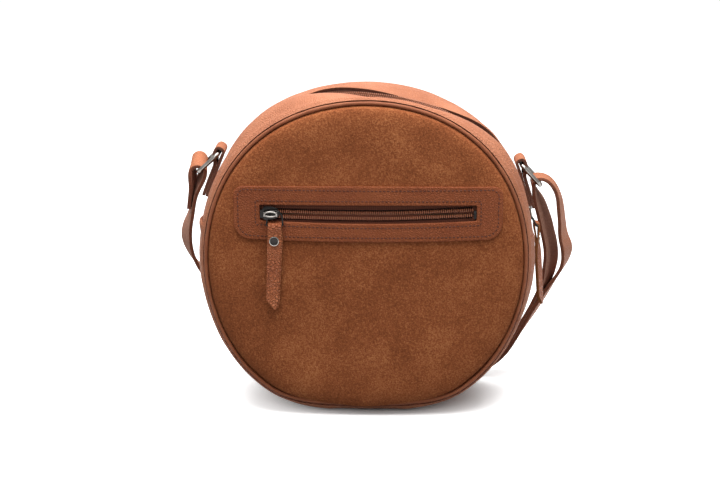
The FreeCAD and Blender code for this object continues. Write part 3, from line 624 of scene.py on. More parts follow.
# Stitches: one rounded stitch, copied along a line at the machine's pitch
def stitchSeed(length, width):
    deselect()
    bpy.ops.mesh.primitive_uv_sphere_add(segments=8, ring_count=6, radius=1.0)
    seed = bpy.context.object
    seed.scale = (length / 2 * mm, width / 2 * mm, width / 2 * mm)
    bpy.ops.object.transform_apply(location=False, rotation=False, scale=True)
    return seed


def stitchLine(name, path, pitch=2.5, length=1.9, width=0.75, closed=False, thread=sewingThread):
    # path is a list of points in metres on the bag's front
    points = list(path) + ([path[0]] if closed else [])
    lengths = [0.0]
    for a, b in zip(points, points[1:]):
        lengths.append(lengths[-1] + (b - a).length)
    count = max(1, int(lengths[-1] / (pitch * mm)))
    places = []
    k = 0
    for n in range(count):
        target = lengths[-1] * (n + 0.5) / count
        while lengths[k + 1] < target:
            k += 1
        share = (target - lengths[k]) / max(1e-9, lengths[k + 1] - lengths[k])
        at = points[k].lerp(points[k + 1], share)
        way = (points[k + 1] - points[k]).normalized()
        side = way.cross(backWay).normalized()
        places.append(basis(at, way, side, way.cross(side)))
    finishPiece(spread(name, stitchSeed(length, width), places), "bag", [thread], slot="leather")


# Pocket facing: a ring of smooth leather on the suede, with a row of stitches along each edge
def roundedRect(middle, size, corners, perCorner, perSide):
    # points anticlockwise seen from the front, from the right of the lower edge; corners are right-base first
    x, z = middle
    halfX, halfZ = size[0] / 2, size[1] / 2
    spec = [(halfX, -halfZ, -90.0), (halfX, halfZ, 0.0), (-halfX, halfZ, 90.0), (-halfX, -halfZ, 180.0)]
    points = []
    for k, (cx, cz, start) in enumerate(spec):
        r = corners[k]
        ox, oz = cx - math.copysign(r, cx), cz - math.copysign(r, cz)
        for n in range(perCorner + 1):
            turn = math.radians(start + 90.0 * n / perCorner)
            points.append(Vector((x + ox + r * math.cos(turn), 0, z + oz + r * math.sin(turn))))
        nx, nz, nextStart = spec[(k + 1) % 4]
        nr = corners[(k + 1) % 4]
        stop = Vector((x + nx - math.copysign(nr, nx) + nr * math.cos(math.radians(nextStart)), 0,
                       z + nz - math.copysign(nr, nz) + nr * math.sin(math.radians(nextStart))))
        first = points[-1].copy()
        for n in range(1, perSide):
            points.append(first.lerp(stop, n / perSide))
    return points


def onSuede(point, height):
    # lifts a point of the pocket (x, z in mm) onto the crowned suede
    r = math.hypot(point.x, point.z - bag["axisZ"])
    return Vector((point.x, -(domeHeight(min(r, pocket["suedeReach"])) + height), point.z)) * mm


def bowed(point):
    # the lower edge hangs a little in the middle
    share = 1 - ((point.x - pocket["x"]) / (pocket["length"] / 2)) ** 2
    drop = pocket["bow"] * share * ease(pocket["z"] - point.z, *pocket["bowFrom"])
    return Vector((point.x, 0, point.z - max(0.0, drop)))


def openBow(point):
    # both long edges of the window hang in the middle, the lower one more
    share = max(0.0, 1 - ((point.x - pocket["x"]) / pocket["bowHalf"]) ** 2)
    drop = pocket["windowBow"][0 if point.z > pocket["windowZ"] else 1]
    return Vector((point.x, 0, point.z - drop * share))


facingSettings = {"corners": 10, "sides": 36, "sheet": (0.38, 0.02), "stitchIn": 2.8, "stitchOut": 2.6,
                  "stitchHeight": 1.3}
# a distance from the window's edge, and from the outer edge in the second half, with a height over the suede
facingSection = [(0.0, -0.6), (0.0, 0.8), (0.1, 1.15), (0.4, 1.36), (1.2, 1.4), (2.2, 1.34), (2.6, 1.3),
                 (3.0, 1.34), (4.2, 1.4), (-4.2, 1.4), (-3.2, 1.34), (-2.8, 1.3), (-2.4, 1.34), (-1.2, 1.4),
                 (-0.4, 1.36), (-0.1, 1.15), (0.0, 0.8), (0.0, 0.0)]
facingCorners = (pocket["baseCorner"], pocket["topCorner"], pocket["topCorner"], pocket["baseCorner"])
windowMiddle = (pocket["x"], pocket["windowZ"])
facingOuter = [bowed(point) for point in roundedRect(
    (pocket["x"], pocket["middle"]), (pocket["length"], pocket["height"]), facingCorners,
    facingSettings["corners"], facingSettings["sides"])]
facingInner = [openBow(point) for point in roundedRect(
    windowMiddle, pocket["window"], (pocket["windowCorner"],) * 4,
    facingSettings["corners"], facingSettings["sides"])]


def facingPlace(u, v):
    count = len(facingOuter)
    k = round(u * count) % count
    row = round(v * (len(facingSection) - 1))
    offset, height = facingSection[row]
    inner, outer = facingInner[k], facingOuter[k]
    way = (outer - inner).normalized()
    if row < len(facingSection) / 2:
        point = inner + way * offset
    else:
        point = outer + way * offset
    return onSuede(point, height)


facing = surface("pocket_facing_leather", len(facingOuter), len(facingSection) - 1, facingPlace,
                 facingSettings["sheet"])
editMode(facing, (bpy.ops.mesh.normals_make_consistent, {"inside": False}))
modify(facing, "SUBSURF", levels=1, render_levels=1)
finishPiece(facing, "bag", [facingLeather], "pocket_facing", slot="leather")
stitchHeight = facingSettings["stitchHeight"]
stitchOuter = [onSuede(outer + (inner - outer).normalized() * facingSettings["stitchIn"], stitchHeight)
               for inner, outer in zip(facingInner, facingOuter)]
seamWindow = [side + 2 * facingSettings["stitchOut"] for side in pocket["window"]]
stitchInner = [onSuede(openBow(point), stitchHeight) for point in roundedRect(
    windowMiddle, seamWindow, (0.4,) * 4, 4, facingSettings["sides"])]
stitchLine("facing_outer_stitches", stitchOuter, closed=True)
stitchLine("facing_window_stitches", stitchInner, closed=True)
print("pocket facing made")


# Zip coils: one rounded tooth, copied along both rows
toothSettings = {"pitch": 1.3, "long": 2.0, "wide": 0.72, "high": 1.5, "bevel": 0.38, "row": 1.7}
chainSettings = {"ends": (9.0, 166.0), "lean": 20.0, "sag": 3.4, "place": (82.0, 17.0)}
tapeSettings = {"ends": (5.5, 169.5), "edges": (0.3, 11.8), "thick": 0.5, "underTeeth": 0.1, "underStrip": 0.35,
                "bend": (2.6, 5.4), "around": 260, "across": 12, "sheet": (0.3, 0.011)}


def toothSeed():
    seed = block((toothSettings["wide"], toothSettings["long"], toothSettings["high"]))
    return modify(seed, "BEVEL", width=toothSettings["bevel"] * mm, segments=2)


def chainFrame(angle, y, height):
    # a point beside the main chain's middle; at the top the chain leans to the front with the sagging strip
    lean = math.radians(chainSettings["lean"]) * bump(angle, *chainSettings["place"])
    sag = chainSettings["sag"] * bump(angle, *chainSettings["place"])
    turn = math.radians(angle)
    out = Vector((math.cos(turn), 0, math.sin(turn)))
    across = Vector((0, math.cos(lean), 0)) + out * math.sin(lean)
    up = out * math.cos(lean) - Vector((0, math.sin(lean), 0))
    r = bag["radius"] - bag["zipSink"] - toothSettings["high"] / 2 - sag
    middle = Vector((0, 0, bag["axisZ"])) + out * r
    return (middle + across * y + up * height) * mm, Vector((-math.sin(turn), 0, math.cos(turn))), across, up


def arcCoil(name, side):
    low, high = chainSettings["ends"]
    count = int(math.radians(high - low) * (bag["radius"] - bag["zipSink"]) / toothSettings["pitch"])
    places = []
    for n in range(count):
        angle = low + (high - low) * (n + (0.5 if side > 0 else 0.0)) / count
        at, along, across, up = chainFrame(angle, side * toothSettings["row"], 0.0)
        places.append(basis(at, along, -across, up))
    return spread(name, toothSeed(), places)


def zipTape(name, side):
    low, high = tapeSettings["ends"]
    inner, outer = tapeSettings["edges"]

    def place(u, v):
        angle = low + (high - low) * u
        y = inner + (outer - inner) * (v if side < 0 else 1 - v)
        onChain = chainFrame(angle, side * y, -toothSettings["high"] / 2 - tapeSettings["underTeeth"])[0]
        depth = gussetSettings["thick"] + tapeSettings["underStrip"]
        underStrip = stripSkin(angle, side, max(y, bag["zipHalf"]), depth)
        underStrip.y = onChain.y
        return onChain.lerp(underStrip, ease(y, *tapeSettings["bend"]))
    obj = surface(name, tapeSettings["around"], tapeSettings["across"], place, tapeSettings["sheet"])
    modify(obj, "SOLIDIFY", thickness=tapeSettings["thick"] * mm, offset=-1.0)
    return smoothShade(obj, 50)


pocketChainSettings = {"half": 65.8, "y": 39.5, "z": 134.4, "sag": (1.5, 66.0), "rise": (0.9, 10.0, 68.0),
                       "sewnHalf": 65.0, "sewnStep": 2.0, "sewnOff": 3.2, "sewnHeight": 0.35}


def pocketChain(x, side, height):
    # a point beside the pocket chain's middle, which hangs between its ends and rises to the right
    depth, half = pocketChainSettings["sag"]
    lift, start, stop = pocketChainSettings["rise"]
    z = pocketChainSettings["z"] - depth * (1 - ((x - pocket["x"]) / half) ** 2) + lift * ease(x, start, stop)
    return Vector((x, -(pocketChainSettings["y"] + height), z + side)) * mm


def straightCoil(name, side):
    left, right = pocket["x"] - pocketChainSettings["half"], pocket["x"] + pocketChainSettings["half"]
    count = int((right - left) / toothSettings["pitch"])
    places = []
    for n in range(count):
        x = left + (right - left) * (n + (0.5 if side > 0 else 0.0)) / count
        at = pocketChain(x, side * toothSettings["row"], toothSettings["high"] / 2)
        places.append(basis(at, rightWay, upWay, -backWay))
    return spread(name, toothSeed(), places)


mainRows = (("front", -1), ("back", 1))
pocketRows = (("upper", 1), ("lower", -1))
for rowName, rowSide in mainRows:
    teeth = arcCoil("main_coil_" + rowName + "_teeth", rowSide)
    finishPiece(teeth, "bag", [coilNylon], "main_zip_coil_" + rowName, slot="zip_coil")
# the main zip's tapes take the darker copy of the tape: painted shade in the zip's recess
for rowName, rowSide in mainRows:
    tape = zipTape("main_tape_" + rowName + "_woven", rowSide)
    finishPiece(tape, "bag", [topTapePaintedShade], "main_zip_tape_" + rowName, slot="zip_tape")
for rowName, rowSide in pocketRows:
    teeth = straightCoil("pocket_coil_" + rowName + "_teeth", rowSide)
    finishPiece(teeth, "bag", [coilNylon], "pocket_zip_coil_" + rowName, slot="zip_coil")
sewnStart = pocket["x"] - pocketChainSettings["sewnHalf"]
sewnCount = int(2 * pocketChainSettings["sewnHalf"] / pocketChainSettings["sewnStep"]) + 1
sewnXs = [sewnStart + pocketChainSettings["sewnStep"] * n for n in range(sewnCount)]
# each pocket coil is sewn on with a near-black line, which is real sewing and also paints the shade beside the
# coil
for rowName, rowSide in pocketRows:
    sewnOff = rowSide * pocketChainSettings["sewnOff"]
    sewnLine = [pocketChain(x, sewnOff, pocketChainSettings["sewnHeight"]) for x in sewnXs]
    stitchLine("pocket_coil_" + rowName + "_sewing", sewnLine,
               pitch=1.3, length=1.1, width=1.1, thread=blackThreadAndShade)
print("zip coils made")


# Zip sliders: a waisted body, a lower wing and an arched bridge, plated dark
sliderSettings = {"length": 11.0, "width": 8.4, "deck": 1.5, "under": -2.5, "plate": 1.2, "waist": 0.34,
                  "noses": (0.45, 0.75, 1.05), "bevel": 0.35, "web": (4.0, 0.5), "webBevel": 0.12,
                  "bridge": (8.8, 4.2, 5.4), "bridgeWire": 0.58, "legs": (1.8, 0.7, 0.4), "legBevel": 0.3}


def sliderWing(low, high):
    wing = block((sliderSettings["length"], sliderSettings["width"], high - low), (0, 0, (low + high) / 2))
    editMode(wing, (bpy.ops.mesh.subdivide, {"number_cuts": 6}))
    narrow, start, stop = sliderSettings["noses"]
    for vertex in wing.data.vertices:
        along = vertex.co.x / (sliderSettings["length"] / 2 * mm)
        waist = sliderSettings["waist"] * ease(along, -0.1, 1.0)
        vertex.co.y *= 1.0 - waist - narrow * ease(abs(along), start, stop)
    return modify(wing, "BEVEL", width=sliderSettings["bevel"] * mm, segments=3,
                  limit_method="ANGLE", angle_limit=math.radians(50))


def sliderBridge():
    # an oval loop over the deck on two short legs
    length, width, top = sliderSettings["bridge"]
    wire = sliderSettings["bridgeWire"]
    deck = sliderSettings["deck"]
    tube = 0.2
    deselect()
    bpy.ops.mesh.primitive_torus_add(major_segments=40, minor_segments=10, major_radius=1.0, minor_radius=tube)
    loop = bpy.context.object
    for vertex in loop.data.vertices:
        x, y, z = vertex.co
        reach = math.hypot(x, y)
        off = (reach - 1.0) / tube * wire
        vertex.co = Vector((x / reach * (length / 2 - wire + off), y / reach * (width / 2 - wire + off),
                            top - wire + z / tube * wire)) * mm
    pieces = [loop]
    thick, wide, sunk = sliderSettings["legs"]
    for end in (-1, 1):
        leg = block((wire * thick, width * wide, top - wire - deck + sunk),
                    (end * (length / 2 - wire), 0, (deck + top - wire) / 2))
        pieces.append(modify(leg, "BEVEL", width=sliderSettings["legBevel"] * mm, segments=2))
    pick(*pieces)
    bpy.ops.object.join()
    return loop


def zipSlider(name, place, body):
    deck, under, plate = sliderSettings["deck"], sliderSettings["under"], sliderSettings["plate"]
    top = sliderWing(deck - plate, deck)
    low = sliderWing(under - plate, under)
    web = block((*sliderSettings["web"], deck - under), (0, 0, (deck + under) / 2))
    modify(web, "BEVEL", width=sliderSettings["webBevel"] * mm, segments=2)
    arch = sliderBridge()
    arch.data.materials.append(gunmetal)
    for obj in (top, low, web):
        obj.data.materials.append(gunmetalDark)
    pick(top, low, web, arch)
    bpy.ops.object.join()
    top.name = name
    top.data.name = name
    top.data.transform(place)
    smoothShade(top, 40)
    return finishPiece(top, body, [], body, slot="gunmetal")


# the main slider rests this far up the zip, and the pocket slider at the left end of its chain
restTurn = math.radians(13.0)
mainOut = Vector((math.cos(restTurn), 0, math.sin(restTurn)))
mainUp = Vector((-math.sin(restTurn), 0, math.cos(restTurn)))
mainSeat = (Vector((0, 0, bag["axisZ"])) + mainOut * (bag["radius"] - bag["zipSink"])) * mm
pocketSeat = Vector((-59.2, -41.2, 134.9)) * mm
zipSlider("main_zip_slider", basis(mainSeat, mainUp, -backWay, mainOut), "main_slider")
zipSlider("pocket_zip_slider", basis(pocketSeat, rightWay, upWay, -backWay), "pocket_slider")
print("sliders made")


# Leather pulls: one strip folded over the link, sewn layers with a pointed tip, held by a cap rivet
pullSettings = {"bar": 0.9, "leather": 1.2, "width": 8.5, "length": 54.0, "tip": 6.5, "rivet": 9.4,
                "layerGap": 0.03, "leavesBar": -1.6, "closes": ((0.5, -4.5), (0.1, -8.0)),
                "rows": (-14.0, -26.0, -40.0), "short": 0.6, "peep": (0.9, 2.0, 8.0), "taper": (0.1, 8.0, 48.0),
                "point": (0.5, 0.84), "twistFrom": (3.0, 22.0), "bevel": 0.22, "across": 10,
                "sheet": (0.11, 0.0092)}


def pullPath():
    # the strip's middle line in its own side view: up the back, over the bar and down the front
    length = pullSettings["length"]
    r = pullSettings["bar"] + pullSettings["leather"] / 2
    half = pullSettings["leather"] / 2 + pullSettings["layerGap"]
    front = [(r, pullSettings["leavesBar"])] + [(half + gap, z) for gap, z in pullSettings["closes"]]
    front += [(half, z) for z in (*pullSettings["rows"], pullSettings["tip"] - length)]
    back = [(-x, z) for x, z in reversed(front)]
    over = []
    for n in range(9):
        turn = math.radians(180.0 - 22.5 * n)
        over.append((r * math.cos(turn), r * math.sin(turn)))
    return [(-half, pullSettings["short"] - length)] + back + over + front + [(half, -length)]


def twistAt(z, twist):
    # the pull turns about its length, more towards its lower end
    return math.radians(twist) * ease(-z, *pullSettings["twistFrom"])


def hung(x, y, z, tilt, twist):
    # leans the pull sideways and turns it
    turn = twistAt(z, twist)
    y += math.tan(math.radians(tilt)) * z
    return Vector((x * math.cos(turn) + y * math.sin(turn), y * math.cos(turn) - x * math.sin(turn), z)) * mm


def leatherPull(name, place, body, tilt, twist):
    line = pullPath()
    fine = []
    for a, b in zip(line, line[1:]):
        steps = 4 if abs(a[1] - b[1]) > 5 else 1
        fine += [(a[0] + (b[0] - a[0]) * n / steps, a[1] + (b[1] - a[1]) * n / steps) for n in range(steps)]
    fine.append(line[-1])
    half = pullSettings["width"] / 2

    def tipShape(y, z, front):
        # the tip is cut slanting from the left, its point near the right edge; the back layer peeps out beside
        narrow, taperStart, taperStop = pullSettings["taper"]
        pointShare, slant = pullSettings["point"]
        peep, peepStart, peepStop = pullSettings["peep"]
        cut = max(0.0, (-z - (pullSettings["length"] - pullSettings["tip"])) / pullSettings["tip"])
        taper = 1.0 - narrow * ease(-z, taperStart, taperStop)
        beside = 0.0 if front else peep * ease(-z, peepStart, peepStop)
        return y * taper * (1 - slant * cut) + half * pointShare * cut + beside

    def build(u, v):
        k = round(u * (len(fine) - 1))
        x, z = fine[k]
        y = half * (2 * v - 1)
        front = k > len(fine) / 2
        return hung(x, tipShape(y, z, front), z, tilt, twist)
    obj = surface(name, len(fine) - 1, pullSettings["across"], build, pullSettings["sheet"], merge=False)
    for material in (pullLeather, paleEdge):
        obj.data.materials.append(material)
    modify(obj, "SOLIDIFY", thickness=pullSettings["leather"] * mm, offset=0.0, material_offset_rim=1)
    modify(obj, "BEVEL", width=pullSettings["bevel"] * mm, segments=2, limit_method="ANGLE",
           angle_limit=math.radians(60))
    obj.data.transform(place)
    smoothShade(obj, 40)
    return finishPiece(obj, body, [], body, slot="pull_leather")


# the cap's section is a radius and a height along the rivet
rivetSettings = {"around": 36, "darkFace": 2.5}
rivetSection = [(0.0, 1.75), (1.6, 1.8), (2.2, 1.95), (2.6, 2.2), (3.0, 2.1), (3.12, 1.7), (3.1, 1.24),
                (0.9, 1.2), (0.9, -1.2), (2.3, -1.25), (2.35, -1.6), (2.0, -1.75), (0.0, -1.8)]


def capRivet(name, place, body, tilt, twist):
    # a pressed cap with a raised rim and a sunk dark face
    def build(u, v):
        r, x = rivetSection[round(v * (len(rivetSection) - 1))]
        turn = 2 * math.pi * u
        return Vector((x, r * math.cos(turn), r * math.sin(turn))) * mm
    obj = surface(name, rivetSettings["around"], len(rivetSection) - 1, build)
    editMode(obj, (bpy.ops.mesh.remove_doubles, {"threshold": 1e-5}),
             (bpy.ops.mesh.normals_make_consistent, {"inside": False}))
    for material in (gunmetal, gunmetalDark):
        obj.data.materials.append(material)
    for face in obj.data.polygons:
        sunk = math.hypot(face.center.y, face.center.z) < rivetSettings["darkFace"] * mm
        face.material_index = 1 if sunk else 0
    z = -pullSettings["rivet"]
    turn = Matrix.Rotation(-twistAt(z, twist), 4, "Z")
    obj.data.transform(place @ Matrix.Translation(hung(0.0, 0.0, z, tilt, twist)) @ turn)
    smoothShade(obj, 35)
    return finishPiece(obj, body, [], body + "_rivet", slot="gunmetal")


# each pull's bar, the ways that its face, its width and its length look, its lean and its twist
mainLean = math.radians(4.0)
mainFace = Vector((math.cos(mainLean), 0, math.sin(mainLean)))
mainLong = Vector((-math.sin(mainLean), 0, math.cos(mainLean)))
pulls = {"main_pull": ((110.364, 0, 118.261), (mainFace, backWay, mainLong), 0.0, 24.0),
         "pocket_pull": ((-56.6, -44.8, 127.2), (-backWay, rightWay, upWay), 2.6, 0.0)}
for pullName, (pullBar, pullWays, pullTilt, pullTwist) in pulls.items():
    pullPlace = basis(Vector(pullBar) * mm, *pullWays)
    leatherPull(pullName + "_strip", pullPlace, pullName, pullTilt, pullTwist)
    capRivet(pullName + "_cap", pullPlace, pullName, pullTilt, pullTwist)
print("pulls made")


# Pocket link: a bent wire through the slider's loop and the fold of the pull
linkSettings = {"corners": [(-61.9, 127.2), (-51.6, 127.2), (-52.0, 136.6), (-60.6, 136.9)],
                "bends": (1.6, 1.6, 4.6, 1.8), "wire": 0.58, "y": -44.8, "steps": 8, "facets": 12}


def roundedLoop(corners, bends, steps):
    points = []
    for k, (corner, bend) in enumerate(zip(corners, bends)):
        before = (corners[k - 1] - corner).normalized() * bend
        after = (corners[(k + 1) % len(corners)] - corner).normalized() * bend
        for n in range(steps + 1):
            t = n / steps
            points.append(corner + before * (1 - t) ** 2 + after * t * t)
    return points


def wireLink(name, node, body):
    corners = [Vector((x, linkSettings["y"], z)) for x, z in linkSettings["corners"]]
    line = roundedLoop(corners, linkSettings["bends"], linkSettings["steps"])
    count = len(line)

    def place(u, v):
        k = round(u * count) % count
        way = (line[(k + 1) % count] - line[k - 1]).normalized()
        out = Vector((way.z, 0, -way.x))
        turn = 2 * math.pi * v
        off = out * math.cos(turn) + backWay * math.sin(turn)
        return (line[k] + off * linkSettings["wire"]) * mm
    obj = surface(name, count, linkSettings["facets"], place)
    editMode(obj, (bpy.ops.mesh.normals_make_consistent, {"inside": False}))
    return finishPiece(obj, body, [gunmetalDark], node, slot="gunmetal")


wireLink("pocket_link_wire", "pocket_pull_link", "pocket_link")
print("link made")


# Strips along two rails: the strap and the tabs are leather bands between a front and a back edge
def rail(points, order=3):
    curve = bpy.data.curves.new("rail", "CURVE")
    curve.dimensions = "3D"
    curve.resolution_u = 8
    spline = curve.splines.new("NURBS")
    spline.points.add(len(points) - 1)
    for control, point in zip(spline.points, points):
        control.co = (*(Vector(point) * mm), 1.0)
    spline.order_u = order
    spline.use_endpoint_u = True
    holder = bpy.data.objects.new("rail", curve)
    scene.collection.objects.link(holder)
    bpy.context.view_layer.update()
    mesh = bpy.data.meshes.new_from_object(holder.evaluated_get(bpy.context.evaluated_depsgraph_get()))
    line = [vertex.co.copy() for vertex in mesh.vertices]
    bpy.data.objects.remove(holder)
    bpy.data.meshes.remove(mesh)
    return line


def band(name, front, back, thickness, across=8, crown=0.0, edge=None):
    # the first edge is on the left of the way the face looks along the band
    length = sum((b - a).length for a, b in zip(front, front[1:]))

    def place(u, v):
        k = round(u * (len(front) - 1))
        return front[k].lerp(back[k], v)
    obj = surface(name, len(front) - 1, across, place, (length, (back[0] - front[0]).length), merge=False)
    for material in (strapLeather, fleshSide, edge or strapEdge):
        obj.data.materials.append(material)
    if crown:
        for vertex in obj.data.vertices:
            vertex.co += vertex.normal * wobble(vertex.co, 14.0, crown * mm)
    modify(obj, "SOLIDIFY", thickness=thickness * mm, offset=0.0, material_offset=1, material_offset_rim=2)
    modify(obj, "BEVEL", width=0.4 * mm, segments=2, limit_method="ANGLE", angle_limit=math.radians(60))
    return smoothShade(obj, 45)


strapSettings = {"width": 18.0, "thick": 2.4, "frontY": 11.0, "backY": 42.5, "leanTop": 146.0, "leanBase": 53.0}


def laneY(z):
    # the strap leans back on its way down to the folds
    share = (strapSettings["leanTop"] - z) / (strapSettings["leanTop"] - strapSettings["leanBase"])
    lean = strapSettings["backY"] - strapSettings["frontY"]
    return strapSettings["frontY"] + lean * min(1.0, max(0.0, share))


def strapRails(route):
    # a route point is x, z of the front edge, and how far out to the side and up the back edge is
    front = [(x, laneY(z), z) for x, z, out, rise in route]
    back = [(x + out, laneY(z) + strapSettings["width"], z + rise) for x, z, out, rise in route]
    return rail(front), rail(back)


leftRoute = [(-118.4, 123.4, -0.5, 0), (-117.3, 131, 0.5, 0), (-116.0, 139.5, 1.6, 1.0),
             (-116.1, 146.8, 1.0, 3.6), (-115.7, 150.6, 0.3, 5.9), (-114.1, 152.7, 0, 6.5),
             (-111.2, 153.8, 0, 6.4), (-108.4, 153.1, 0, 6.2), (-106.0, 151.0, -0.6, 5.4),
             (-105.7, 148.2, -2.0, 3.0), (-107.6, 143, -4.8, 1.0), (-110.6, 137.5, -5.0, 0),
             (-113.2, 131.5, -3.5, 0), (-114.6, 125, -3.0, 0), (-115.8, 118, -4.0, 0),
             (-117.8, 108, -7.0, 0), (-118.8, 97.5, -7.8, 0), (-117.0, 85.5, -5.0, 0),
             (-111.4, 74, -2.5, 0), (-102, 62, 0, 0), (-92, 52.5, 0, 0), (-80, 47.8, 0, 0),
             (-66, 47.8, 0, 0)]
leftFront, leftBack = strapRails(leftRoute)
leftStrap = band("strap_left_leather", leftFront, leftBack, strapSettings["thick"], crown=0.3)
finishPiece(leftStrap, None, [], "strap_left_end", "strap_left_run", slot="strap_leather")

# a bend is how far beyond the place where the strap turns, and how far off the line of its layer
foldSettings = {"layers": 4, "top": 47.8, "pitch": 11.0, "turns": (50.0, -55.0), "nose": 6.4,
                "bend": ((-40.0, -0.8), (-6.0, 0.4), (5.6, 0.0))}
foldRoute = [leftRoute[-1]]
for foldIndex in range(foldSettings["layers"]):
    turnX = foldSettings["turns"][foldIndex % 2]
    side = math.copysign(1.0, turnX)
    high = foldSettings["top"] - foldSettings["pitch"] * foldIndex
    low = high - foldSettings["pitch"]
    foldRoute += [(turnX + beyond * side, high + off, 0, 0) for beyond, off in foldSettings["bend"]]
    foldRoute.append((turnX + foldSettings["nose"] * side, (high + low) / 2, 0, 0))
    foldRoute += [(turnX + beyond * side, low - off, 0, 0) for beyond, off in reversed(foldSettings["bend"])]
foldRoute += [(30, 3.8, 0, 0), (58, 3.8, 0, 0)]
foldFront, foldBack = strapRails(foldRoute)
foldStrap = band("strap_folded_leather", foldFront, foldBack, strapSettings["thick"])
finishPiece(foldStrap, "bag", [], "strap_folds", slot="strap_leather")

rightRoute = [(58, 3.8, 0, 0), (72, 3.8, 0, 0), (85.5, 7, 0, 0), (96.6, 17.5, 3.4, 0),
              (107.6, 38.5, 6.4, 0), (119.6, 60, 6.6, 0), (127.6, 73.5, 4.6, 0), (131.8, 83, 5.8, 0),
              (131.2, 93, 8.4, 0), (128.4, 103, 6.2, 0), (127.6, 114, 4.9, 0), (126.6, 123, 4.3, 0),
              (125.2, 133, 3.2, 0), (121.8, 141, 2, 0), (117.2, 145.6, 1, 0), (112.5, 146.4, 0, 0),
              (109.8, 145.4, 0, 0), (109.2, 141, 0, 0), (109.4, 136, 2.4, 0), (111.0, 128, 7.0, 0),
              (114.0, 116, 8.8, 0), (117.6, 102, 9.4, 0), (119.4, 92, 9.6, 0), (119.6, 82, 10.2, 0),
              (118.4, 70, 9.4, 0), (115.6, 60, 7.0, 0), (108.4, 44, 5.0, 0), (101.7, 31.5, 4.4, 0),
              (95.3, 19.8, 2.6, 0), (84.6, 9.6, 0, 0), (71.4, 6.45, 0, 0), (56, 6.45, 0, 0),
              (36, 6.45, 0, 0), (30.6, 6.45, 0, 0), (30.6, 12.15, 0, 0), (36, 12.1, 0, 0), (52, 12.0, 0, 0)]
rightFront, rightBack = strapRails(rightRoute)
rightStrap = band("strap_right_leather", rightBack, rightFront, strapSettings["thick"], crown=0.3)
finishPiece(rightStrap, None, [], "strap_right_run", "strap_right_end", "strap_return", slot="strap_leather")
print("strap made")

# Ring tabs: two layers on the back strip, open round the ring's bar
tabSettings = {"y": 11.0, "width": 18.0, "layer": 2.0, "left": (148.1, 163.2), "right": (27.8, 12.6),
               "rise": 7.3, "eye": 2.8, "nose": 1.55, "heights": (3.0, 5.2), "backRise": 0.4}


def ringTab(name, node, foldAngle, tailAngle):
    # the tail's lower layer, the loop round the ring's bar, and the upper layer back to the tail
    step = tailAngle - foldAngle
    turn = math.copysign(1.0, step)
    nose = -turn * tabSettings["nose"]
    eye = tabSettings["eye"]
    fold = bag["radius"] + tabSettings["rise"]
    low, high = (bag["radius"] + height for height in tabSettings["heights"])

    def at(radius, beyond):
        t = math.radians(foldAngle + beyond)
        return (radius * math.cos(t), tabSettings["y"], bag["axisZ"] + radius * math.sin(t))
    under = [at(low, step), at(low, step * 0.7), at(low + 0.1, step * 0.42), at(low + 0.6, step * 0.22)]
    loop = [at(fold - eye * 1.02, step * 0.03), at(fold - eye * 0.95, nose), at(fold, nose * 1.25),
            at(fold + eye * 0.95, nose), at(fold + eye, step * 0.05)]
    over = [at(high + 0.7, step * 0.22), at(high + 0.2, step * 0.38), at(high, step * 0.7), at(high, step)]
    front = rail(under + loop + over)
    back = [point + Vector((0, tabSettings["width"], tabSettings["backRise"])) * mm for point in front]
    rails = (front, back) if turn < 0 else (back, front)
    obj = band(name, *rails, tabSettings["layer"], edge=darkEdge)
    return finishPiece(obj, "bag", [], node, slot="leather")


ringTab("left_tab_leather", "left_tab", *tabSettings["left"])
ringTab("right_tab_leather", "right_tab", *tabSettings["right"])
print("tabs made")

# Nodes whose solids already have the right shape keep them and take a finish
keptFinish = {"left_ring": gunmetal, "right_ring": gunmetal, "main_pull_link": gunmetalDark,
              "strap_adjuster": gunmetal, "main_zip_stops": gunmetalDark, "pocket_zip_stops": gunmetalDark,
              "front_stiffener": greyBoard, "back_stiffener": greyBoard}
for node in ("pocket_zip_tape_upper", "pocket_zip_tape_lower"):
    keptFinish[node] = tapeWeave
for node in ("base_lining", "pocket_pouch_front", "pocket_pouch_back"):
    keptFinish[node] = liningWeave
for node, finish in keptFinish.items():
    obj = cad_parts[node]
    obj.data.materials.clear()
    obj.data.materials.append(finish)
print("kept solids finished")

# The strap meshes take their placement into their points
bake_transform(leftStrap)
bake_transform(rightStrap)

# Studio: a white floor that keeps the shadow, a large soft lamp overhead and weak fills; the floor also has a
# painted glow that is nil at the bag's contact and grows away from it, so that the soft shadow beyond the
# contact turns white, and to bounced light it is a mid grey
# a lamp is its place in metres, its watts and its width
studio = {"floor": 6.0, "top": (0.0, -0.12, 1.15, 31.0, 1.2), "front": (-0.5, -1.6, 1.1, 8.0, 1.2),
          "right": (1.1, -0.6, 0.16, 2.4, 0.5), "aim": (0.0, 0.0, 0.1), "fill": 0.13,
          "contact": (0.008, 0.008, 0.078, 0.056), "paintedGlowFade": (0.55, 1.35, 0.0, 0.8)}


def seenRays(tree):
    # 1 where a ray is seen straight, in a reflection or through something clear
    rays = addNode(tree, "ShaderNodeLightPath").outputs
    straight = addNode(tree, "ShaderNodeMath", {"operation": "MAXIMUM"},
                       {0: rays["Is Camera Ray"], 1: rays["Is Glossy Ray"]})
    clear = addNode(tree, "ShaderNodeMath", {"operation": "MAXIMUM"},
                    {0: straight.outputs[0], 1: rays["Is Transmission Ray"]})
    return clear.outputs[0]


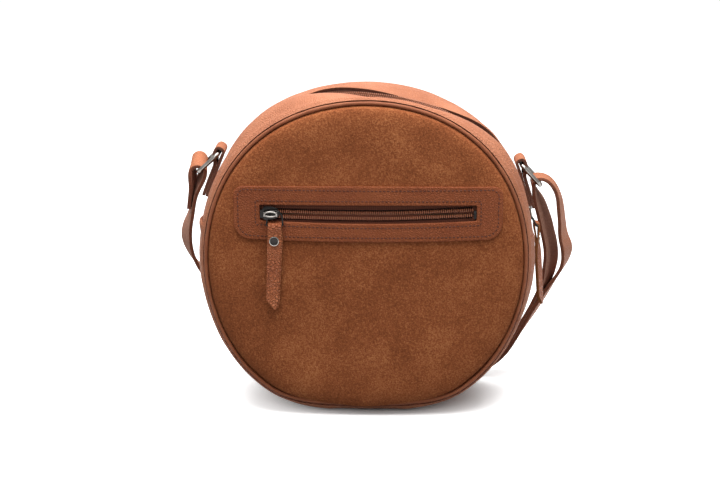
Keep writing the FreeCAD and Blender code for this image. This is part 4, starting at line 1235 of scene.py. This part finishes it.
deselect()
bpy.ops.mesh.primitive_plane_add(size=studio["floor"])
floor = bpy.context.object
floor.name = "studio_floor"
floorPaper, floorTree, floorShader = startMaterial("white studio paper", **{
    "Roughness": 0.9, "Base Color": srgb("#f4f4f4")})
floor.data.materials.append(floorPaper)
dim = addNode(floorTree, "ShaderNodeBsdfDiffuse", inputs={"Color": srgb("#707070")})
# painted light: the floor's own glow, none within the ellipse round the bag's contact and rising far from it,
# whitens the soft shadow there so that only its dark core by the contact stays
contactX, contactY, contactLong, contactDeep = studio["contact"]
floorPlace = addNode(floorTree, "ShaderNodeTexCoord").outputs["Object"]
fromContact = addNode(floorTree, "ShaderNodeVectorMath", {"operation": "SUBTRACT"},
                      {0: floorPlace, 1: (contactX, contactY, 0.0)})
scaled = addNode(floorTree, "ShaderNodeVectorMath", {"operation": "MULTIPLY"},
                 {0: fromContact.outputs[0], 1: (1 / contactLong, 1 / contactDeep, 0.0)})
away = addNode(floorTree, "ShaderNodeVectorMath", {"operation": "LENGTH"}, {0: scaled.outputs[0]})
nearEnd, farEnd, nearGlow, farGlow = studio["paintedGlowFade"]
fade = addNode(floorTree, "ShaderNodeMapRange", {"interpolation_type": "SMOOTHSTEP"}, {
    "Value": away.outputs["Value"], "From Min": nearEnd, "From Max": farEnd,
    "To Min": nearGlow, "To Max": farGlow})
glow = addNode(floorTree, "ShaderNodeEmission", inputs={"Color": (1, 1, 1, 1), "Strength": fade.outputs[0]})
lit = addNode(floorTree, "ShaderNodeAddShader", inputs={0: floorShader.outputs[0], 1: glow.outputs[0]})
seen = addNode(floorTree, "ShaderNodeMixShader", inputs={
    0: seenRays(floorTree), 1: dim.outputs[0], 2: lit.outputs[0]})
floorTree.links.new(seen.outputs[0], floorTree.nodes["Material Output"].inputs["Surface"])
for lampName in ("top", "front", "right"):
    x, y, z, power, size = studio[lampName]
    lampData = bpy.data.lights.new(lampName + "_softbox", "AREA")
    lampData.shape = "DISK"
    lampData.size = size
    lampData.energy = power
    lamp = bpy.data.objects.new(lampName + "_softbox", lampData)
    scene.collection.objects.link(lamp)
    lamp.location = (x, y, z)
    lamp.rotation_euler = (Vector(studio["aim"]) - lamp.location).to_track_quat("-Z", "Y").to_euler()
world = bpy.data.worlds.new("studio")
scene.world = world
world.use_nodes = True
worldTree = world.node_tree
backdrop = worldTree.nodes["Background"]
backdrop.inputs["Color"].default_value = (1, 1, 1, 1)
backdrop.inputs["Strength"].default_value = studio["fill"]
white = addNode(worldTree, "ShaderNodeBackground", inputs={"Color": (1, 1, 1, 1), "Strength": 1.0})
mixed = addNode(worldTree, "ShaderNodeMixShader", inputs={
    0: seenRays(worldTree), 1: backdrop.outputs[0], 2: white.outputs[0]})
worldTree.links.new(mixed.outputs[0], worldTree.nodes["World Output"].inputs["Surface"])
scene.view_settings.view_transform = "Standard"
print("studio made")
